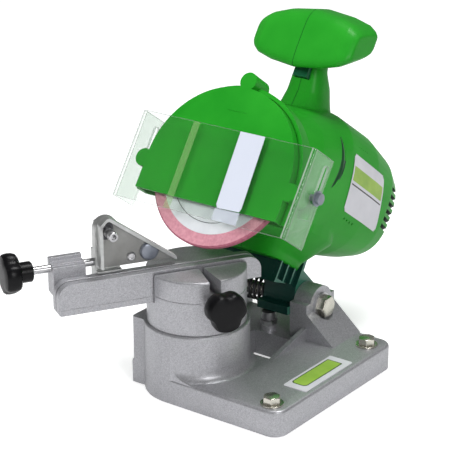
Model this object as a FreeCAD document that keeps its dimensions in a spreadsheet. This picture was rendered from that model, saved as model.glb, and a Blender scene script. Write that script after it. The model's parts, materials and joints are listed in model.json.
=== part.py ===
import FreeCAD, Part
import math
import os
from types import SimpleNamespace
import Sketcher

# Bench saw chain sharpener: a cast base with a turning vise, and a motor head that swings down on it.
# The row's origin is midway between the two bench bolts, on the underside of the base.
# Base pieces are drawn from the vise axis, vise pieces along their jaws, head pieces from the wheel.
# In the head's own axes X is the hinge direction, Y points up the wheel and Z leaves the wheel's face.

SIZES = {
    # Shared fits
    "flat_gap": 0.3,
    "bore_gap": 0.05,
    "overrun": 1.0,
    # Base casting
    "base_right": 87.7,
    "base_left": 36.0,
    "base_back": 98.0,
    "base_height": 17.0,
    "base_corner": 8.0,
    "base_wall": 4.0,
    "base_deck": 4.0,
    "drum_radius": 34.0,
    "drum_height": 47.2,
    "drum_roof": 6.0,
    "hub_radius": 16.0,
    "hub_length": 12.0,
    "scale_front": 22.0,
    "scale_back": 18.0,
    "scale_width": 24.0,
    "well_right": 36.8,
    "well_back": 60.0,
    "well_shoulder": 36.6,
    "ear_inner": 26.8,
    "ear_thickness": 13.2,
    "far_ear_thickness": 9.0,
    "ear_front": 65.4,
    "ear_top": 41.6,
    "hinge_back": 82.0,
    "hinge_height": 37.0,
    "hinge_boss_radius": 13.0,
    "buttress_reach": 21.2,
    "buttress_height": 18.5,
    "rib_thickness": 4.0,
    "rib_height": 9.0,
    "bench_bolt_right": 75.8,
    "bench_bolt_middle": 29.5,
    "bench_bolt_spacing": 107.0,
    "bench_bolt_radius": 3.3,
    "bench_boss_radius": 8.0,
    "plate_left": 65.5,
    "plate_width": 19.0,
    "plate_front": 1.0,
    "plate_length": 58.0,
    "plate_thickness": 0.5,
    # Hinge of the head
    "hinge_radius": 4.0,
    "hinge_head_flats": 13.0,
    "hinge_head_height": 5.3,
    "washer_radius": 8.5,
    "washer_thickness": 1.6,
    "hinge_nut_height": 6.5,
    "spring_radius": 8.0,
    "spring_wire": 0.9,
    "spring_turns": 7.0,
    # Depth stop
    "stop_screw_right": 9.0,
    "stop_screw_back": 66.5,
    "stop_screw_radius": 3.0,
    "stop_boss_radius": 5.5,
    "stop_boss_height": 21.0,
    "stop_screw_head_radius": 5.0,
    "stop_screw_head_height": 5.0,
    "stop_nut_flats": 10.0,
    "stop_nut_height": 3.2,
    # Vise
    "vise_angle": 58.8,
    "vise_radius": 32.0,
    "vise_top": 83.2,
    "band_height": 69.0,
    "band_proud": 0.4,
    "spigot_radius": 10.0,
    "spigot_bottom": 31.0,
    "stud_radius": 4.0,
    "stud_bottom": 7.0,
    "stud_depth": 12.0,
    "lock_knob_radius": 14.0,
    "lock_knob_height": 10.0,
    "lock_hub_radius": 8.0,
    "lobe_radius": 4.0,
    "lobe_count": 6,
    "jaw_left": 92.9,
    "jaw_right": 41.9,
    "jaw_top": 85.0,
    "jaw_height": 20.4,
    "jaw_thickness": 5.1,
    "jaw_corner": 9.0,
    "jaw_toe": 2.0,
    "jaw_relief": 28.0,
    "jaw_relief_height": 5.4,
    "jaw_step": 0.8,
    "jaw_slot": 1.8,
    "jaw_travel": 1.2,
    "jaw_pin_radius": 2.0,
    "jaw_pin_reach": 22.0,
    "jaw_pin_height": 79.0,
    "jaw_screw_radius": 2.0,
    "jaw_screw_head_radius": 3.8,
    "jaw_screw_head": 2.4,
    "jaw_screw_reach": 12.0,
    "jaw_screw_length": 17.0,
    "notch_width": 9.0,
    "notch_flare": 4.0,
    "notch_wall": 9.0,
    "notch_bottom": 63.0,
    "clamp_height": 70.5,
    "clamp_radius": 3.0,
    "clamp_tip_radius": 2.4,
    "clamp_tip_length": 3.0,
    "clamp_reach": 44.0,
    "clamp_knob_radius": 13.5,
    "clamp_knob_height": 13.0,
    "clamp_knob_front": 55.0,
    "clamp_hub_radius": 7.0,
    "clamp_hub_length": 4.0,
    # Chain stop on the back jaw
    "rod_radius": 2.5,
    "rod_back": 12.0,
    "rod_height": 90.3,
    "rod_left": 120.0,
    "rod_right": 56.0,
    "nut_block_left": 92.0,
    "nut_block_length": 21.0,
    "nut_block_depth": 12.0,
    "nut_block_bottom": 73.0,
    "nut_block_top": 96.0,
    "nut_block_channel": 5.0,
    "nut_screw_radius": 1.5,
    "nut_screw_head_radius": 2.8,
    "nut_screw_length": 14.0,
    "rod_knob_radius": 13.2,
    "rod_knob_height": 11.0,
    "rod_hub_radius": 6.5,
    "rod_hub_length": 8.0,
    "bracket_left": 64.5,
    "bracket_width": 16.0,
    "bracket_bottom": 74.0,
    "bracket_thickness": 9.0,
    "bracket_gap": 0.4,
    "bracket_lip": 1.6,
    "stop_travel": 4.0,
    "pawl_pivot_left": 57.0,
    "pawl_pivot_height": 112.6,
    "pawl_left_reach": 6.0,
    "pawl_crest_reach": 0.5,
    "pawl_crest_rise": 10.3,
    "pawl_bottom": 88.5,
    "pawl_tip": 13.0,
    "pawl_toe": 2.0,
    "pawl_thickness": 2.0,
    "pawl_flange": 6.0,
    "pawl_bolt_radius": 2.5,
    "pawl_bolt_head_radius": 3.2,
    "pawl_bolt_head": 12.0,
    "pawl_nut_flats": 8.0,
    "pawl_nut_height": 4.0,
    "pawl_screw_left": 42.0,
    "pawl_screw_height": 93.5,
    "pawl_screw_radius": 1.5,
    "pawl_screw_head_radius": 3.0,
    "pawl_finger_left": 30.0,
    "pawl_finger_radius": 7.0,
    "pawl_finger_thickness": 3.0,
    # Head: wheel and its drive
    "head_tilt": 35.2,
    "wheel_back": 28.9,
    "wheel_height": 135.9,
    "wheel_radius": 50.0,
    "wheel_thickness": 4.5,
    "wheel_bore": 5.0,
    "blotter_radius": 41.6,
    "blotter_thickness": 0.4,
    "flange_radius": 15.0,
    "flange_thickness": 1.6,
    "flange_inner_length": 3.0,
    "shaft_radius": 4.0,
    "shaft_rear": 88.0,
    "shaft_front": 8.4,
    "arbor_nut_flats": 13.0,
    "arbor_nut_height": 3.8,
    "rotor_radius": 15.0,
    "rotor_front": 27.0,
    "rotor_length": 34.0,
    "commutator_radius": 9.0,
    "commutator_front": 64.5,
    "commutator_length": 11.0,
    "fan_radius": 15.0,
    "fan_front": 22.5,
    "fan_thickness": 3.0,
    "bearing_radius": 9.5,
    "bearing_width": 6.0,
    "motor_radius": 21.0,
    "motor_wall": 1.5,
    "motor_front": 8.0,
    "motor_cap": 10.0,
    "motor_rear": 88.0,
    "magnet_thickness": 4.0,
    "brush_width": 5.0,
    "brush_length": 9.0,
    "brush_box_wall": 1.2,
    # Head: guard and visor
    "guard_radius": 58.0,
    "guard_chord": 24.0,
    "guard_plate": 2.5,
    "guard_rim": 2.7,
    "guard_rim_front": 3.0,
    "cover_radius": 55.0,
    "cover_wall": 2.0,
    "cover_front": 9.2,
    "cover_rim_back": 1.0,
    "dome_radius": 16.0,
    "dome_rise": 1.6,
    "lobe_pad_radius": 6.0,
    "lobe_side_up": -4.0,
    "lobe_side": 57.0,
    "lobe_top_up": 59.4,
    "guard_screw_radius": 1.5,
    "guard_screw_head_radius": 3.0,
    "guard_screw_length": 14.0,
    "guard_nose_hole": 16.0,
    "visor_half_width": 67.8,
    "visor_low": 33.5,
    "visor_high": 25.7,
    "visor_thickness": 2.0,
    "visor_inner_front": 11.6,
    "visor_flap_back": 11.0,
    "visor_slot_low": -0.5,
    "visor_slot_high": 18.5,
    "visor_slot_back": 6.5,
    "visor_screw_radius": 2.0,
    "visor_screw_head_radius": 3.6,
    "visor_screw_head": 2.4,
    "visor_screw_length": 5.2,
    "visor_washer_radius": 5.0,
    "visor_washer_thickness": 0.8,
    "visor_gap": 0.15,
    "lug_height": 11.0,
    "lug_depth": 11.0,
    # Head: shells
    "shell_wall": 2.6,
    "barrel_half_width": 47.5,
    "barrel_half_height": 46.0,
    "barrel_rise": 26.0,
    "barrel_front": 8.0,
    "barrel_length": 145.3,
    "neck_half_width": 12.0,
    "neck_half_depth": 13.0,
    "neck_back": 59.0,
    "neck_foot_up": 55.0,
    "neck_top_up": 108.0,
    "grip_half_length": 38.6,
    "grip_half_height": 20.1,
    "grip_half_depth": 14.8,
    "grip_up": 113.0,
    "grip_back": 43.4,
    "grip_lean": 8.5,
    "grip_sweep": 2.3,
    "skirt_half_width": 27.0,
    "skirt_drop": 30.0,
    "skirt_back": 66.0,
    "skirt_half_depth": 21.0,
    "vent_count": 6,
    "vent_pitch": 5.3,
    "vent_width": 2.8,
    "vent_depth": 11.0,
    "vent_low": 16.0,
    "shell_boss_radius": 4.0,
    "shell_screw_radius": 1.5,
    "shell_screw_head_radius": 3.0,
    "shell_screw_head": 2.2,
    "shell_screw_length": 16.0,
    "sticker_thickness": 0.4,
    "sticker_front": 66.0,
    "sticker_length": 54.0,
    "sticker_low": 12.0,
    "sticker_height": 36.0,
    "trigger_width": 11.0,
    "trigger_height": 8.0,
    "trigger_up": 88.0,
    "trigger_front": 43.0,
    "trigger_length": 9.0,
    "trigger_travel": 2.5,
    "switch_depth": 7.5,
    "gland_left": 16.0,
    "gland_up": 22.0,
    "gland_radius": 6.0,
    "gland_neck_radius": 4.5,
    "gland_bore": 3.2,
    "gland_flange": 4.0,
    # Head: foot
    "foot_start": 2.0,
    "foot_heel_radius": 12.0,
    "foot_toe_back": 47.5,
    "foot_toe_height": 61.5,
    "foot_knee_back": 72.5,
    "foot_knee_height": 50.8,
    "foot_web_back": 95.1,
    "foot_web_height": 43.9,
    "foot_nape_back": 81.6,
    "foot_nape_height": 58.0,
    "foot_rear_back": 91.2,
    "foot_rear_height": 73.6,
    "foot_brow_back": 67.7,
    "foot_brow_height": 90.2,
    "foot_rib_count": 4,
    "foot_rib_width": 1.6,
    "foot_rib_pitch": 9.0,
    "foot_rib_depth": 3.0,
    "foot_rib_drop": 47.0,
    "stop_lip_front": 63.0,
    "stop_lip_bottom": 32.4,
    "stop_lip_height": 5.6,
}

# Sections of the motor barrel: along its length, half width, half height, rise of its centre.
BARREL_SHARES = (
    (0.00, 0.95, 0.84, 0.35),
    (0.16, 1.00, 0.94, 0.60),
    (0.40, 1.00, 1.00, 0.82),
    (0.66, 1.00, 0.99, 1.00),
    (0.84, 0.97, 0.89, 1.05),
    (0.94, 0.90, 0.77, 1.03),
    (1.00, 0.75, 0.64, 1.00),
)
# Sections of the neck: along its height, half width, half depth, lean of its centre.
NECK_SHARES = (
    (0.00, 1.50, 1.69, 1.14),
    (0.21, 1.33, 1.46, 1.11),
    (0.40, 1.13, 1.15, 1.06),
    (0.58, 1.00, 1.00, 1.00),
    (0.74, 0.83, 0.77, 0.92),
    (1.00, 0.79, 0.73, 0.83),
)
# Sections of the grip: along it from the middle, half height, half depth.
GRIP_SHARES = ((-1.00, 0.42, 0.77), (-0.93, 0.55, 0.90), (-0.80, 0.71, 1.00), (-0.50, 0.88, 1.00), (0.00, 1.00, 1.00),
               (0.50, 0.88, 1.00), (0.80, 0.71, 1.00), (0.93, 0.55, 0.90), (1.00, 0.42, 0.77))
GRIP_TAPER_SHARE = 0.117
# Sections of the skirt under the barrel: drop below the wheel axis, half width, half depth, distance behind.
SKIRT_SHARES = ((1.00, 1.00, 1.00, 1.00), (0.45, 1.63, 0.95, 0.83), (-0.27, 1.69, 0.86, 0.73))
SKIRT_POWER = 4.0
SECTION_POWER = 2.8
SECTION_POINTS = 24
# The chain well's two front corners, which lie on the well's round shoulder.
WELL_SHARES = ((0.06, 0.9982), (0.64, 0.7684))
# The two screws of the stop's nut block, along its length.
NUT_SCREW_SHARES = (0.25, 0.75)
ROTOR_SLOTS = 8
# A hexagon's corners for flats one apart.
HEXAGON_SHARES = ((0.5, 0.28868), (0.0, 0.57735), (-0.5, 0.28868), (-0.5, -0.28868), (0.0, -0.57735), (0.5, -0.28868))
# The shell screws: height above the wheel axis and distance behind the wheel, of the barrel's own sizes.
SHELL_SCREW_SHARES = ((1.08, 0.28), (0.98, 0.86), (0.12, 0.86))


class Size:
    """A length that keeps both its value and the sheet expression behind it."""

    def __init__(self, number, text):
        self.number = float(number)
        self.text = text

    def __add__(self, other):
        other = as_size(other)
        return Size(self.number + other.number, f"({self.text} + {other.text})")

    def __radd__(self, other):
        return as_size(other) + self

    def __sub__(self, other):
        other = as_size(other)
        return Size(self.number - other.number, f"({self.text} - {other.text})")

    def __rsub__(self, other):
        return as_size(other) - self

    def __mul__(self, other):
        other = as_size(other)
        return Size(self.number * other.number, f"({self.text} * {other.text})")

    def __rmul__(self, other):
        return as_size(other) * self

    def __truediv__(self, other):
        other = as_size(other)
        return Size(self.number / other.number, f"({self.text} / {other.text})")

    def __neg__(self):
        return self * -1


def as_size(item):
    return item if isinstance(item, Size) else Size(item, repr(float(item)))


doc = FreeCAD.newDocument("ChainSharpener")
sheet = doc.addObject("Spreadsheet::Sheet", "Sizes")
for row, (name, number) in enumerate(SIZES.items(), start=1):
    sheet.set(f"A{row}", name)
    sheet.set(f"B{row}", str(number))
    sheet.setAlias(f"B{row}", name)
doc.recompute()
s = SimpleNamespace(**{name: Size(sheet.get(name), f"Sizes.{name}") for name in SIZES})

pieces = []
X, Y, Z = FreeCAD.Vector(1, 0, 0), FreeCAD.Vector(0, 1, 0), FreeCAD.Vector(0, 0, 1)


def bind(item, path, size):
    """Tie one property to the sheet."""
    item.setExpression(path, as_size(size).text)


def place(item, group):
    """Stand a piece on its group's axes: the base, the vise turned on it, or the tilted head."""
    turn_by = {
        "base": FreeCAD.Rotation(Z, 0),
        "vise": FreeCAD.Rotation(Z, s.vise_angle.number),
        "head": FreeCAD.Rotation(X, 90 - s.head_tilt.number),
    }[group]
    back, height = (s.wheel_back, s.wheel_height) if group == "head" else (as_size(0), as_size(0))
    spot = (-s.bench_bolt_right, back - s.bench_bolt_middle, height)
    item.Placement = FreeCAD.Placement(FreeCAD.Vector(*(side.number for side in spot)), turn_by)
    for axis, side in zip("xyz", spot):
        bind(item, f".Placement.Base.{axis}", side)


def new_body(label, group):
    body = doc.addObject("PartDesign::Body", label)
    body.Label = label
    body.AllowCompound = True
    place(body, group)
    pieces.append(body)
    return body


def sketch_on(body, plane, spot=(0, 0, 0)):
    """A sketch on one of the body's own planes, moved to a point given in the body's axes."""
    sketch = body.newObject("Sketcher::SketchObject", "Outline")
    support = next(item for item in body.Origin.OriginFeatures if item.Role == f"{plane}_Plane")
    sketch.AttachmentSupport = [(support, "")]
    sketch.MapMode = "FlatFace"
    x, y, z = (as_size(side) for side in spot)
    for axis, side in zip("xyz", {"XY": (x, y, z), "XZ": (x, z, -y), "YZ": (y, z, x)}[plane]):
        bind(sketch, f".AttachmentOffset.Base.{axis}", side)
    return sketch


def fix_point(sketch, edge, end, point):
    for kind, side in zip(("DistanceX", "DistanceY"), point):
        number = sketch.addConstraint(Sketcher.Constraint(kind, -1, 1, edge, end, as_size(side).number))
        bind(sketch, f"Constraints[{number}]", side)


def arc_between(start, end, radius):
    """An arc that bends left for a positive radius and right for a negative one."""
    middle = (start + end) * 0.5
    half = (end - start) * 0.5
    side = math.copysign(1, radius)
    rise = math.sqrt(max(radius * radius - half.Length * half.Length, 0))
    centre = middle + FreeCAD.Vector(-half.y, half.x, 0).normalize() * rise * side
    first, last = (start, end) if side > 0 else (end, start)
    angles = [math.atan2(spot.y - centre.y, spot.x - centre.x) for spot in (first, last)]
    return Part.ArcOfCircle(Part.Circle(centre, Z, abs(radius)), angles[0], angles[1])


def draw(sketch, points):
    """Join the points in order; a third number is the radius of the arc that arrives at that point."""
    spots = [FreeCAD.Vector(as_size(p[0]).number, as_size(p[1]).number, 0) for p in points]
    ends = []
    for index, point in enumerate(points):
        start, end = spots[index - 1], spots[index]
        if len(point) == 2:
            edge = sketch.addGeometry(Part.LineSegment(start, end), False)
            ends.append((edge, 1, 2))
        else:
            radius = as_size(point[2])
            edge = sketch.addGeometry(arc_between(start, end, radius.number), False)
            ends.append((edge, 1, 2) if radius.number > 0 else (edge, 2, 1))
            bend = radius if radius.number > 0 else -radius
            number = sketch.addConstraint(Sketcher.Constraint("Radius", edge, bend.number))
            bind(sketch, f"Constraints[{number}]", bend)
    for index, (edge, first, last) in enumerate(ends):
        following = ends[(index + 1) % len(ends)]
        sketch.addConstraint(Sketcher.Constraint("Coincident", edge, last, following[0], following[1]))
        fix_point(sketch, edge, last, points[index])


def ring(sketch, centre, radius):
    radius = as_size(radius)
    spot = FreeCAD.Vector(as_size(centre[0]).number, as_size(centre[1]).number, 0)
    edge = sketch.addGeometry(Part.Circle(spot, Z, radius.number), False)
    number = sketch.addConstraint(Sketcher.Constraint("Radius", edge, radius.number))
    bind(sketch, f"Constraints[{number}]", radius)
    fix_point(sketch, edge, 3, centre)


def rectangle(sketch, low, high):
    draw(sketch, [(low[0], low[1]), (high[0], low[1]), (high[0], high[1]), (low[0], high[1])])


def extrude(body, kind, sketch, length, reverse):
    feature = body.newObject(f"PartDesign::{kind}", kind)
    feature.Profile = sketch
    bind(feature, "Length", length)
    feature.Reversed = reverse
    sketch.Visibility = False
    doc.recompute()
    return feature


def pad(body, sketch, length, reverse=False):
    return extrude(body, "Pad", sketch, length, reverse)


def pocket(body, sketch, length, reverse=False):
    return extrude(body, "Pocket", sketch, length, reverse)


def block(body, low, high, cut=False):
    """A box between two corners, added or cut."""
    sketch = sketch_on(body, "XY", (0, 0, low[2]))
    rectangle(sketch, low[:2], high[:2])
    length = as_size(high[2]) - low[2]
    return pocket(body, sketch, length, True) if cut else pad(body, sketch, length)


def turn(body, axis, spot, profile, cut=False):
    """Turn a profile of (radius, distance along) about an axis through a point of the body."""
    sketch = sketch_on(body, "XZ" if axis == "Z" else "XY", spot)
    draw(sketch, [(along, radius) if axis == "X" else (radius, along) for radius, along in profile])
    feature = body.newObject("PartDesign::Groove" if cut else "PartDesign::Revolution", "Turn")
    feature.Profile = sketch
    feature.ReferenceAxis = (sketch, ["H_Axis" if axis == "X" else "V_Axis"])
    feature.Angle = 360
    sketch.Visibility = False
    doc.recompute()
    return feature


def tube(body, axis, spot, outer, start, end, inner=0, cut=False):
    """A round bar, or a ring where it has an inner radius, from start to end along its axis."""
    profile = [(inner, start), (outer, start), (outer, end), (inner, end)]
    return turn(body, axis, spot, profile, cut)


def screw(body, axis, spot, way, radius, length, head_radius, head_height):
    """A screw whose head stands on the point and whose shank runs back from it."""
    profile = [(0, -length * way), (radius, -length * way), (radius, 0), (head_radius, 0),
               (head_radius, head_height * way), (0, head_height * way)]
    return turn(body, axis, spot, profile)


def hexagon(body, plane, spot, flats, height, reverse=False):
    sketch = sketch_on(body, plane, spot)
    draw(sketch, [(flats * across, flats * up) for across, up in HEXAGON_SHARES])
    return pad(body, sketch, height, reverse)


def lobed_knob(body, axis, spot, radius, start, end):
    """A disc with round lobes about its rim, for a hand to turn."""
    tube(body, axis, spot, radius - s.lobe_radius * 0.5, start, end)
    plane = {"X": "YZ", "Y": "XZ", "Z": "XY"}[axis]
    along = {"X": (start, 0, 0), "Y": (0, start, 0), "Z": (0, 0, start)}[axis]
    for step in range(SIZES["lobe_count"]):
        angle = 2 * math.pi * step / SIZES["lobe_count"]
        sketch = sketch_on(body, plane, tuple(as_size(a) + b for a, b in zip(spot, along)))
        reach = radius - s.lobe_radius
        ring(sketch, (reach * math.cos(angle), reach * math.sin(angle)), s.lobe_radius)
        pad(body, sketch, as_size(end) - start if axis != "Y" else as_size(start) - end)


def gather(label, kind, first, second):
    """A boolean of two shapes that stand in place, as a piece of its own."""
    item = doc.addObject(f"Part::{kind}", label)
    item.Label = label
    item.Base, item.Tool = first, second
    pieces.append(item)
    return item


def shaped(label, group, shape, keep=True):
    """A freeform piece whose shape is worked out from the sheet in this file."""
    item = doc.addObject("Part::Feature", label)
    item.Label = label
    item.Shape = shape
    place(item, group)
    if keep:
        pieces.append(item)
    return item


ear_outer = s.ear_inner + s.ear_thickness
jaw_face = s.jaw_slot * 0.5
jaw_back = jaw_face + s.jaw_thickness
jaw_bottom = s.jaw_top - s.jaw_height
drum_ceiling = s.drum_height - s.drum_roof
blotter_face = s.wheel_thickness * 0.5 + s.blotter_thickness
hinge_spot = (0, s.hinge_back, s.hinge_height)
stop_spot = (s.stop_screw_right, s.stop_screw_back, 0)


def bench_spots():
    return [(s.bench_bolt_right, s.bench_bolt_middle + s.bench_bolt_spacing * side, 0) for side in (-0.5, 0.5)]


def base_casting():
    """Open-bottomed casting: deck, drum for the vise, two ears for the hinge and a well for the chain."""
    body = new_body("base_casting", "base")
    left, right, back, front = -s.base_left, s.base_right, s.base_back, -s.drum_radius
    corner, wall, deck = s.base_corner, s.base_wall, s.base_height - s.base_deck
    plate = sketch_on(body, "XY")
    draw(plate, [(0, front), (right - corner, front), (right, front + corner, corner), (right, back - corner),
                 (right - corner, back, corner), (left + corner, back), (left, back - corner, corner),
                 (left, -s.scale_front), (0, -s.scale_front)])
    pad(body, plate, s.base_height)
    tube(body, "Z", (0, 0, 0), s.drum_radius, 0, s.drum_height)
    scale_right = left + s.scale_width
    block(body, (left, -s.scale_front, 0), (scale_right, s.scale_back, s.drum_height))

    hollow = sketch_on(body, "XY")
    draw(hollow, [(0, front + wall), (right - wall, front + wall), (right - wall, back - wall),
                  (left + wall, back - wall), (left + wall, wall - s.scale_front), (0, wall - s.scale_front)])
    pocket(body, hollow, deck, True)
    tube(body, "Z", (0, 0, 0), s.drum_radius - wall, 0, drum_ceiling, cut=True)
    block(body, (left + wall, wall - s.scale_front, 0), (scale_right, s.scale_back - wall, drum_ceiling), True)

    inside = s.drum_radius - wall * 0.5
    well_left = s.well_shoulder * WELL_SHARES[0][0]
    frame = sketch_on(body, "XY")
    draw(frame, [(s.well_right + wall, inside * 0.5), (s.well_right + wall, s.well_back + wall),
                 (well_left - wall, s.well_back + wall), (well_left - wall, inside), (0, inside),
                 (inside * math.sqrt(0.75), inside * 0.5, -inside)])
    pad(body, frame, s.base_height)
    well = sketch_on(body, "XY")
    low, high = [(s.well_shoulder * across, s.well_shoulder * back_share) for across, back_share in WELL_SHARES]
    draw(well, [(s.well_right, high[1]), (s.well_right, s.well_back), (low[0], s.well_back), low,
                (high[0], high[1], -s.well_shoulder)])
    pocket(body, well, s.base_height + s.overrun, True)

    block(body, (s.ear_inner, s.ear_front, deck), (ear_outer, back, s.ear_top))
    block(body, (left, s.ear_front, deck), (left + s.far_ear_thickness, back, s.ear_top))
    tube(body, "X", hinge_spot, s.hinge_boss_radius, s.ear_inner, ear_outer)
    tube(body, "X", hinge_spot, s.hinge_boss_radius, left, left + s.far_ear_thickness)
    buttress = sketch_on(body, "XZ", (0, back, 0))
    draw(buttress, [(ear_outer - s.overrun, deck), (ear_outer + s.buttress_reach, deck),
                    (ear_outer + s.buttress_reach, s.base_height), (ear_outer, s.base_height + s.buttress_height),
                    (ear_outer - s.overrun, s.base_height + s.buttress_height)])
    pad(body, buttress, back - s.ear_front)
    rib = sketch_on(body, "YZ", (s.well_right, 0, 0))
    draw(rib, [(high[1], deck), (s.ear_front + s.overrun, deck),
               (s.ear_front + s.overrun, s.base_height + s.rib_height), (high[1], s.base_height)])
    pad(body, rib, ear_outer - s.well_right)
    tube(body, "X", hinge_spot, s.hinge_radius + s.bore_gap, left - s.overrun, ear_outer + s.overrun, cut=True)
    tube(body, "X", hinge_spot, s.washer_radius + s.flat_gap, ear_outer, ear_outer + s.buttress_reach, cut=True)

    tube(body, "Z", (0, 0, 0), s.hub_radius, drum_ceiling - s.hub_length, s.drum_height)
    tube(body, "Z", (0, 0, 0), s.spigot_radius + s.bore_gap, drum_ceiling - s.hub_length - s.overrun,
         s.drum_height + s.overrun, cut=True)
    for spot in bench_spots():
        tube(body, "Z", spot, s.bench_boss_radius, 0, deck + s.base_deck * 0.5)
        tube(body, "Z", spot, s.bench_bolt_radius, -s.overrun, s.base_height + s.overrun, cut=True)
    tube(body, "Z", stop_spot, s.stop_boss_radius, deck, s.stop_boss_height)
    tube(body, "Z", stop_spot, s.stop_screw_radius + s.bore_gap, s.base_wall - s.flat_gap,
         s.stop_boss_height + s.overrun, cut=True)


def base_fittings():
    plate = new_body("base_label_plate", "base")
    low = (s.plate_left, -s.plate_front, s.base_height)
    block(plate, low, (low[0] + s.plate_width, low[1] + s.plate_length, low[2] + s.plate_thickness))

    far, near = -s.base_left - s.washer_thickness, ear_outer + s.washer_thickness
    bolt = new_body("hinge_bolt", "base")
    tube(bolt, "X", hinge_spot, s.hinge_radius, far - s.hinge_nut_height - s.overrun, near)
    hexagon(bolt, "YZ", (near, s.hinge_back, s.hinge_height), s.hinge_head_flats, s.hinge_head_height)
    nut = new_body("hinge_nut", "base")
    hexagon(nut, "YZ", (far - s.hinge_nut_height, s.hinge_back, s.hinge_height), s.hinge_head_flats,
            s.hinge_nut_height)
    tube(nut, "X", hinge_spot, s.hinge_radius + s.bore_gap, far - s.hinge_nut_height - s.overrun,
         far + s.overrun, cut=True)
    washers = new_body("hinge_washers", "base")
    for start in (far, ear_outer):
        tube(washers, "X", hinge_spot, s.washer_radius, start, start + s.washer_thickness,
             s.hinge_radius + s.bore_gap)

    stop = new_body("depth_stop_screw", "base")
    seat = s.stop_boss_height + s.stop_nut_height + s.overrun
    tube(stop, "Z", stop_spot, s.stop_screw_radius, s.base_wall, seat)
    tube(stop, "Z", stop_spot, s.stop_screw_head_radius, seat, seat + s.stop_screw_head_height)
    locknut = new_body("depth_stop_nut", "base")
    hexagon(locknut, "XY", (stop_spot[0], stop_spot[1], s.stop_boss_height), s.stop_nut_flats, s.stop_nut_height)
    tube(locknut, "Z", stop_spot, s.stop_screw_radius + s.bore_gap, s.stop_boss_height - s.overrun,
         seat, cut=True)


def return_spring():
    """The torsion coil round the hinge bolt that lifts the head, as quarter-turn arcs along a helix."""
    start = -s.base_left.number + s.far_ear_thickness.number + s.flat_gap.number + s.spring_wire.number
    end = s.foot_start.number - s.flat_gap.number - s.spring_wire.number
    turns, radius = SIZES["spring_turns"], s.spring_radius.number

    def point(turn):
        angle = 2 * math.pi * turn
        return FreeCAD.Vector(start + (end - start) * turn / turns, s.hinge_back.number + radius * math.cos(angle),
                              s.hinge_height.number + radius * math.sin(angle))

    steps = int(turns * 4)
    arcs = []
    for step in range(steps):
        first, middle, last = (point((step + part) / 4) for part in (0, 0.5, 1))
        arcs.append(Part.Arc(first, middle, last).toShape())
    path = Part.Wire(arcs)
    edge = arcs[0]
    section = Part.Wire(Part.makeCircle(s.spring_wire.number, edge.Vertexes[0].Point, edge.tangentAt(edge.FirstParameter)))
    shell = path.makePipeShell([section], True, False)
    pitch = (end - start) / turns
    print("return spring: least gap between turns", round(pitch - 2 * s.spring_wire.number, 2), "mm")
    shaped("return_spring", "base", shell)


def vise_turret():
    """The turning block: its spigot sits in the drum and its channel holds the two jaws."""
    body = new_body("vise_turret", "vise")
    bottom, wide = s.drum_height + s.flat_gap, s.vise_radius + s.overrun
    tube(body, "Z", (0, 0, 0), s.vise_radius, bottom, s.vise_top)
    tube(body, "Z", (0, 0, 0), s.vise_radius + s.band_proud, s.band_height, s.band_height + s.band_proud)
    tube(body, "Z", (0, 0, 0), s.spigot_radius, s.spigot_bottom, bottom)
    channel_front = -(jaw_back + s.jaw_travel + s.flat_gap)
    block(body, (-wide, channel_front, jaw_bottom - s.flat_gap), (wide, jaw_back, s.vise_top + s.overrun), True)
    notch = sketch_on(body, "XY", (0, 0, s.notch_bottom))
    notch_back = channel_front - s.notch_wall
    draw(notch, [(-s.notch_width * 0.5, -wide), (s.notch_width * 0.5 + s.notch_flare, -wide),
                 (s.notch_width * 0.5, notch_back), (-s.notch_width * 0.5, notch_back)])
    pocket(body, notch, s.vise_top - s.notch_bottom + s.overrun, True)
    tube(body, "Y", (0, 0, s.clamp_height), s.clamp_radius + s.bore_gap, -wide, channel_front + s.overrun, cut=True)
    tube(body, "Z", (0, 0, 0), s.stud_radius + s.bore_gap, s.spigot_bottom - s.overrun,
         s.spigot_bottom + s.stud_depth, cut=True)
    for side in (-1, 1):
        spot = (s.jaw_screw_reach * side, 0, s.jaw_pin_height)
        tube(body, "Y", spot, s.jaw_screw_radius + s.bore_gap, jaw_back - s.overrun,
             jaw_face + s.jaw_screw_length + s.overrun * 2, cut=True)


def vise_lock():
    stud = new_body("vise_stud", "vise")
    tube(stud, "Z", (0, 0, 0), s.stud_radius, s.stud_bottom, s.spigot_bottom + s.stud_depth - s.flat_gap)
    top = drum_ceiling - s.hub_length - s.flat_gap
    washer = new_body("lock_washer", "vise")
    tube(washer, "Z", (0, 0, 0), s.spigot_radius * 1.3, top - s.washer_thickness, top, s.stud_radius + s.bore_gap)
    knob = new_body("angle_lock_knob", "vise")
    hub_top = top - s.washer_thickness - s.flat_gap
    grip_bottom = s.stud_bottom + s.overrun
    lobed_knob(knob, "Z", (0, 0, 0), s.lock_knob_radius, grip_bottom, grip_bottom + s.lock_knob_height)
    tube(knob, "Z", (0, 0, 0), s.lock_hub_radius, grip_bottom, hub_top)
    tube(knob, "Z", (0, 0, 0), s.stud_radius + s.bore_gap, 0, top, cut=True)


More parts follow.
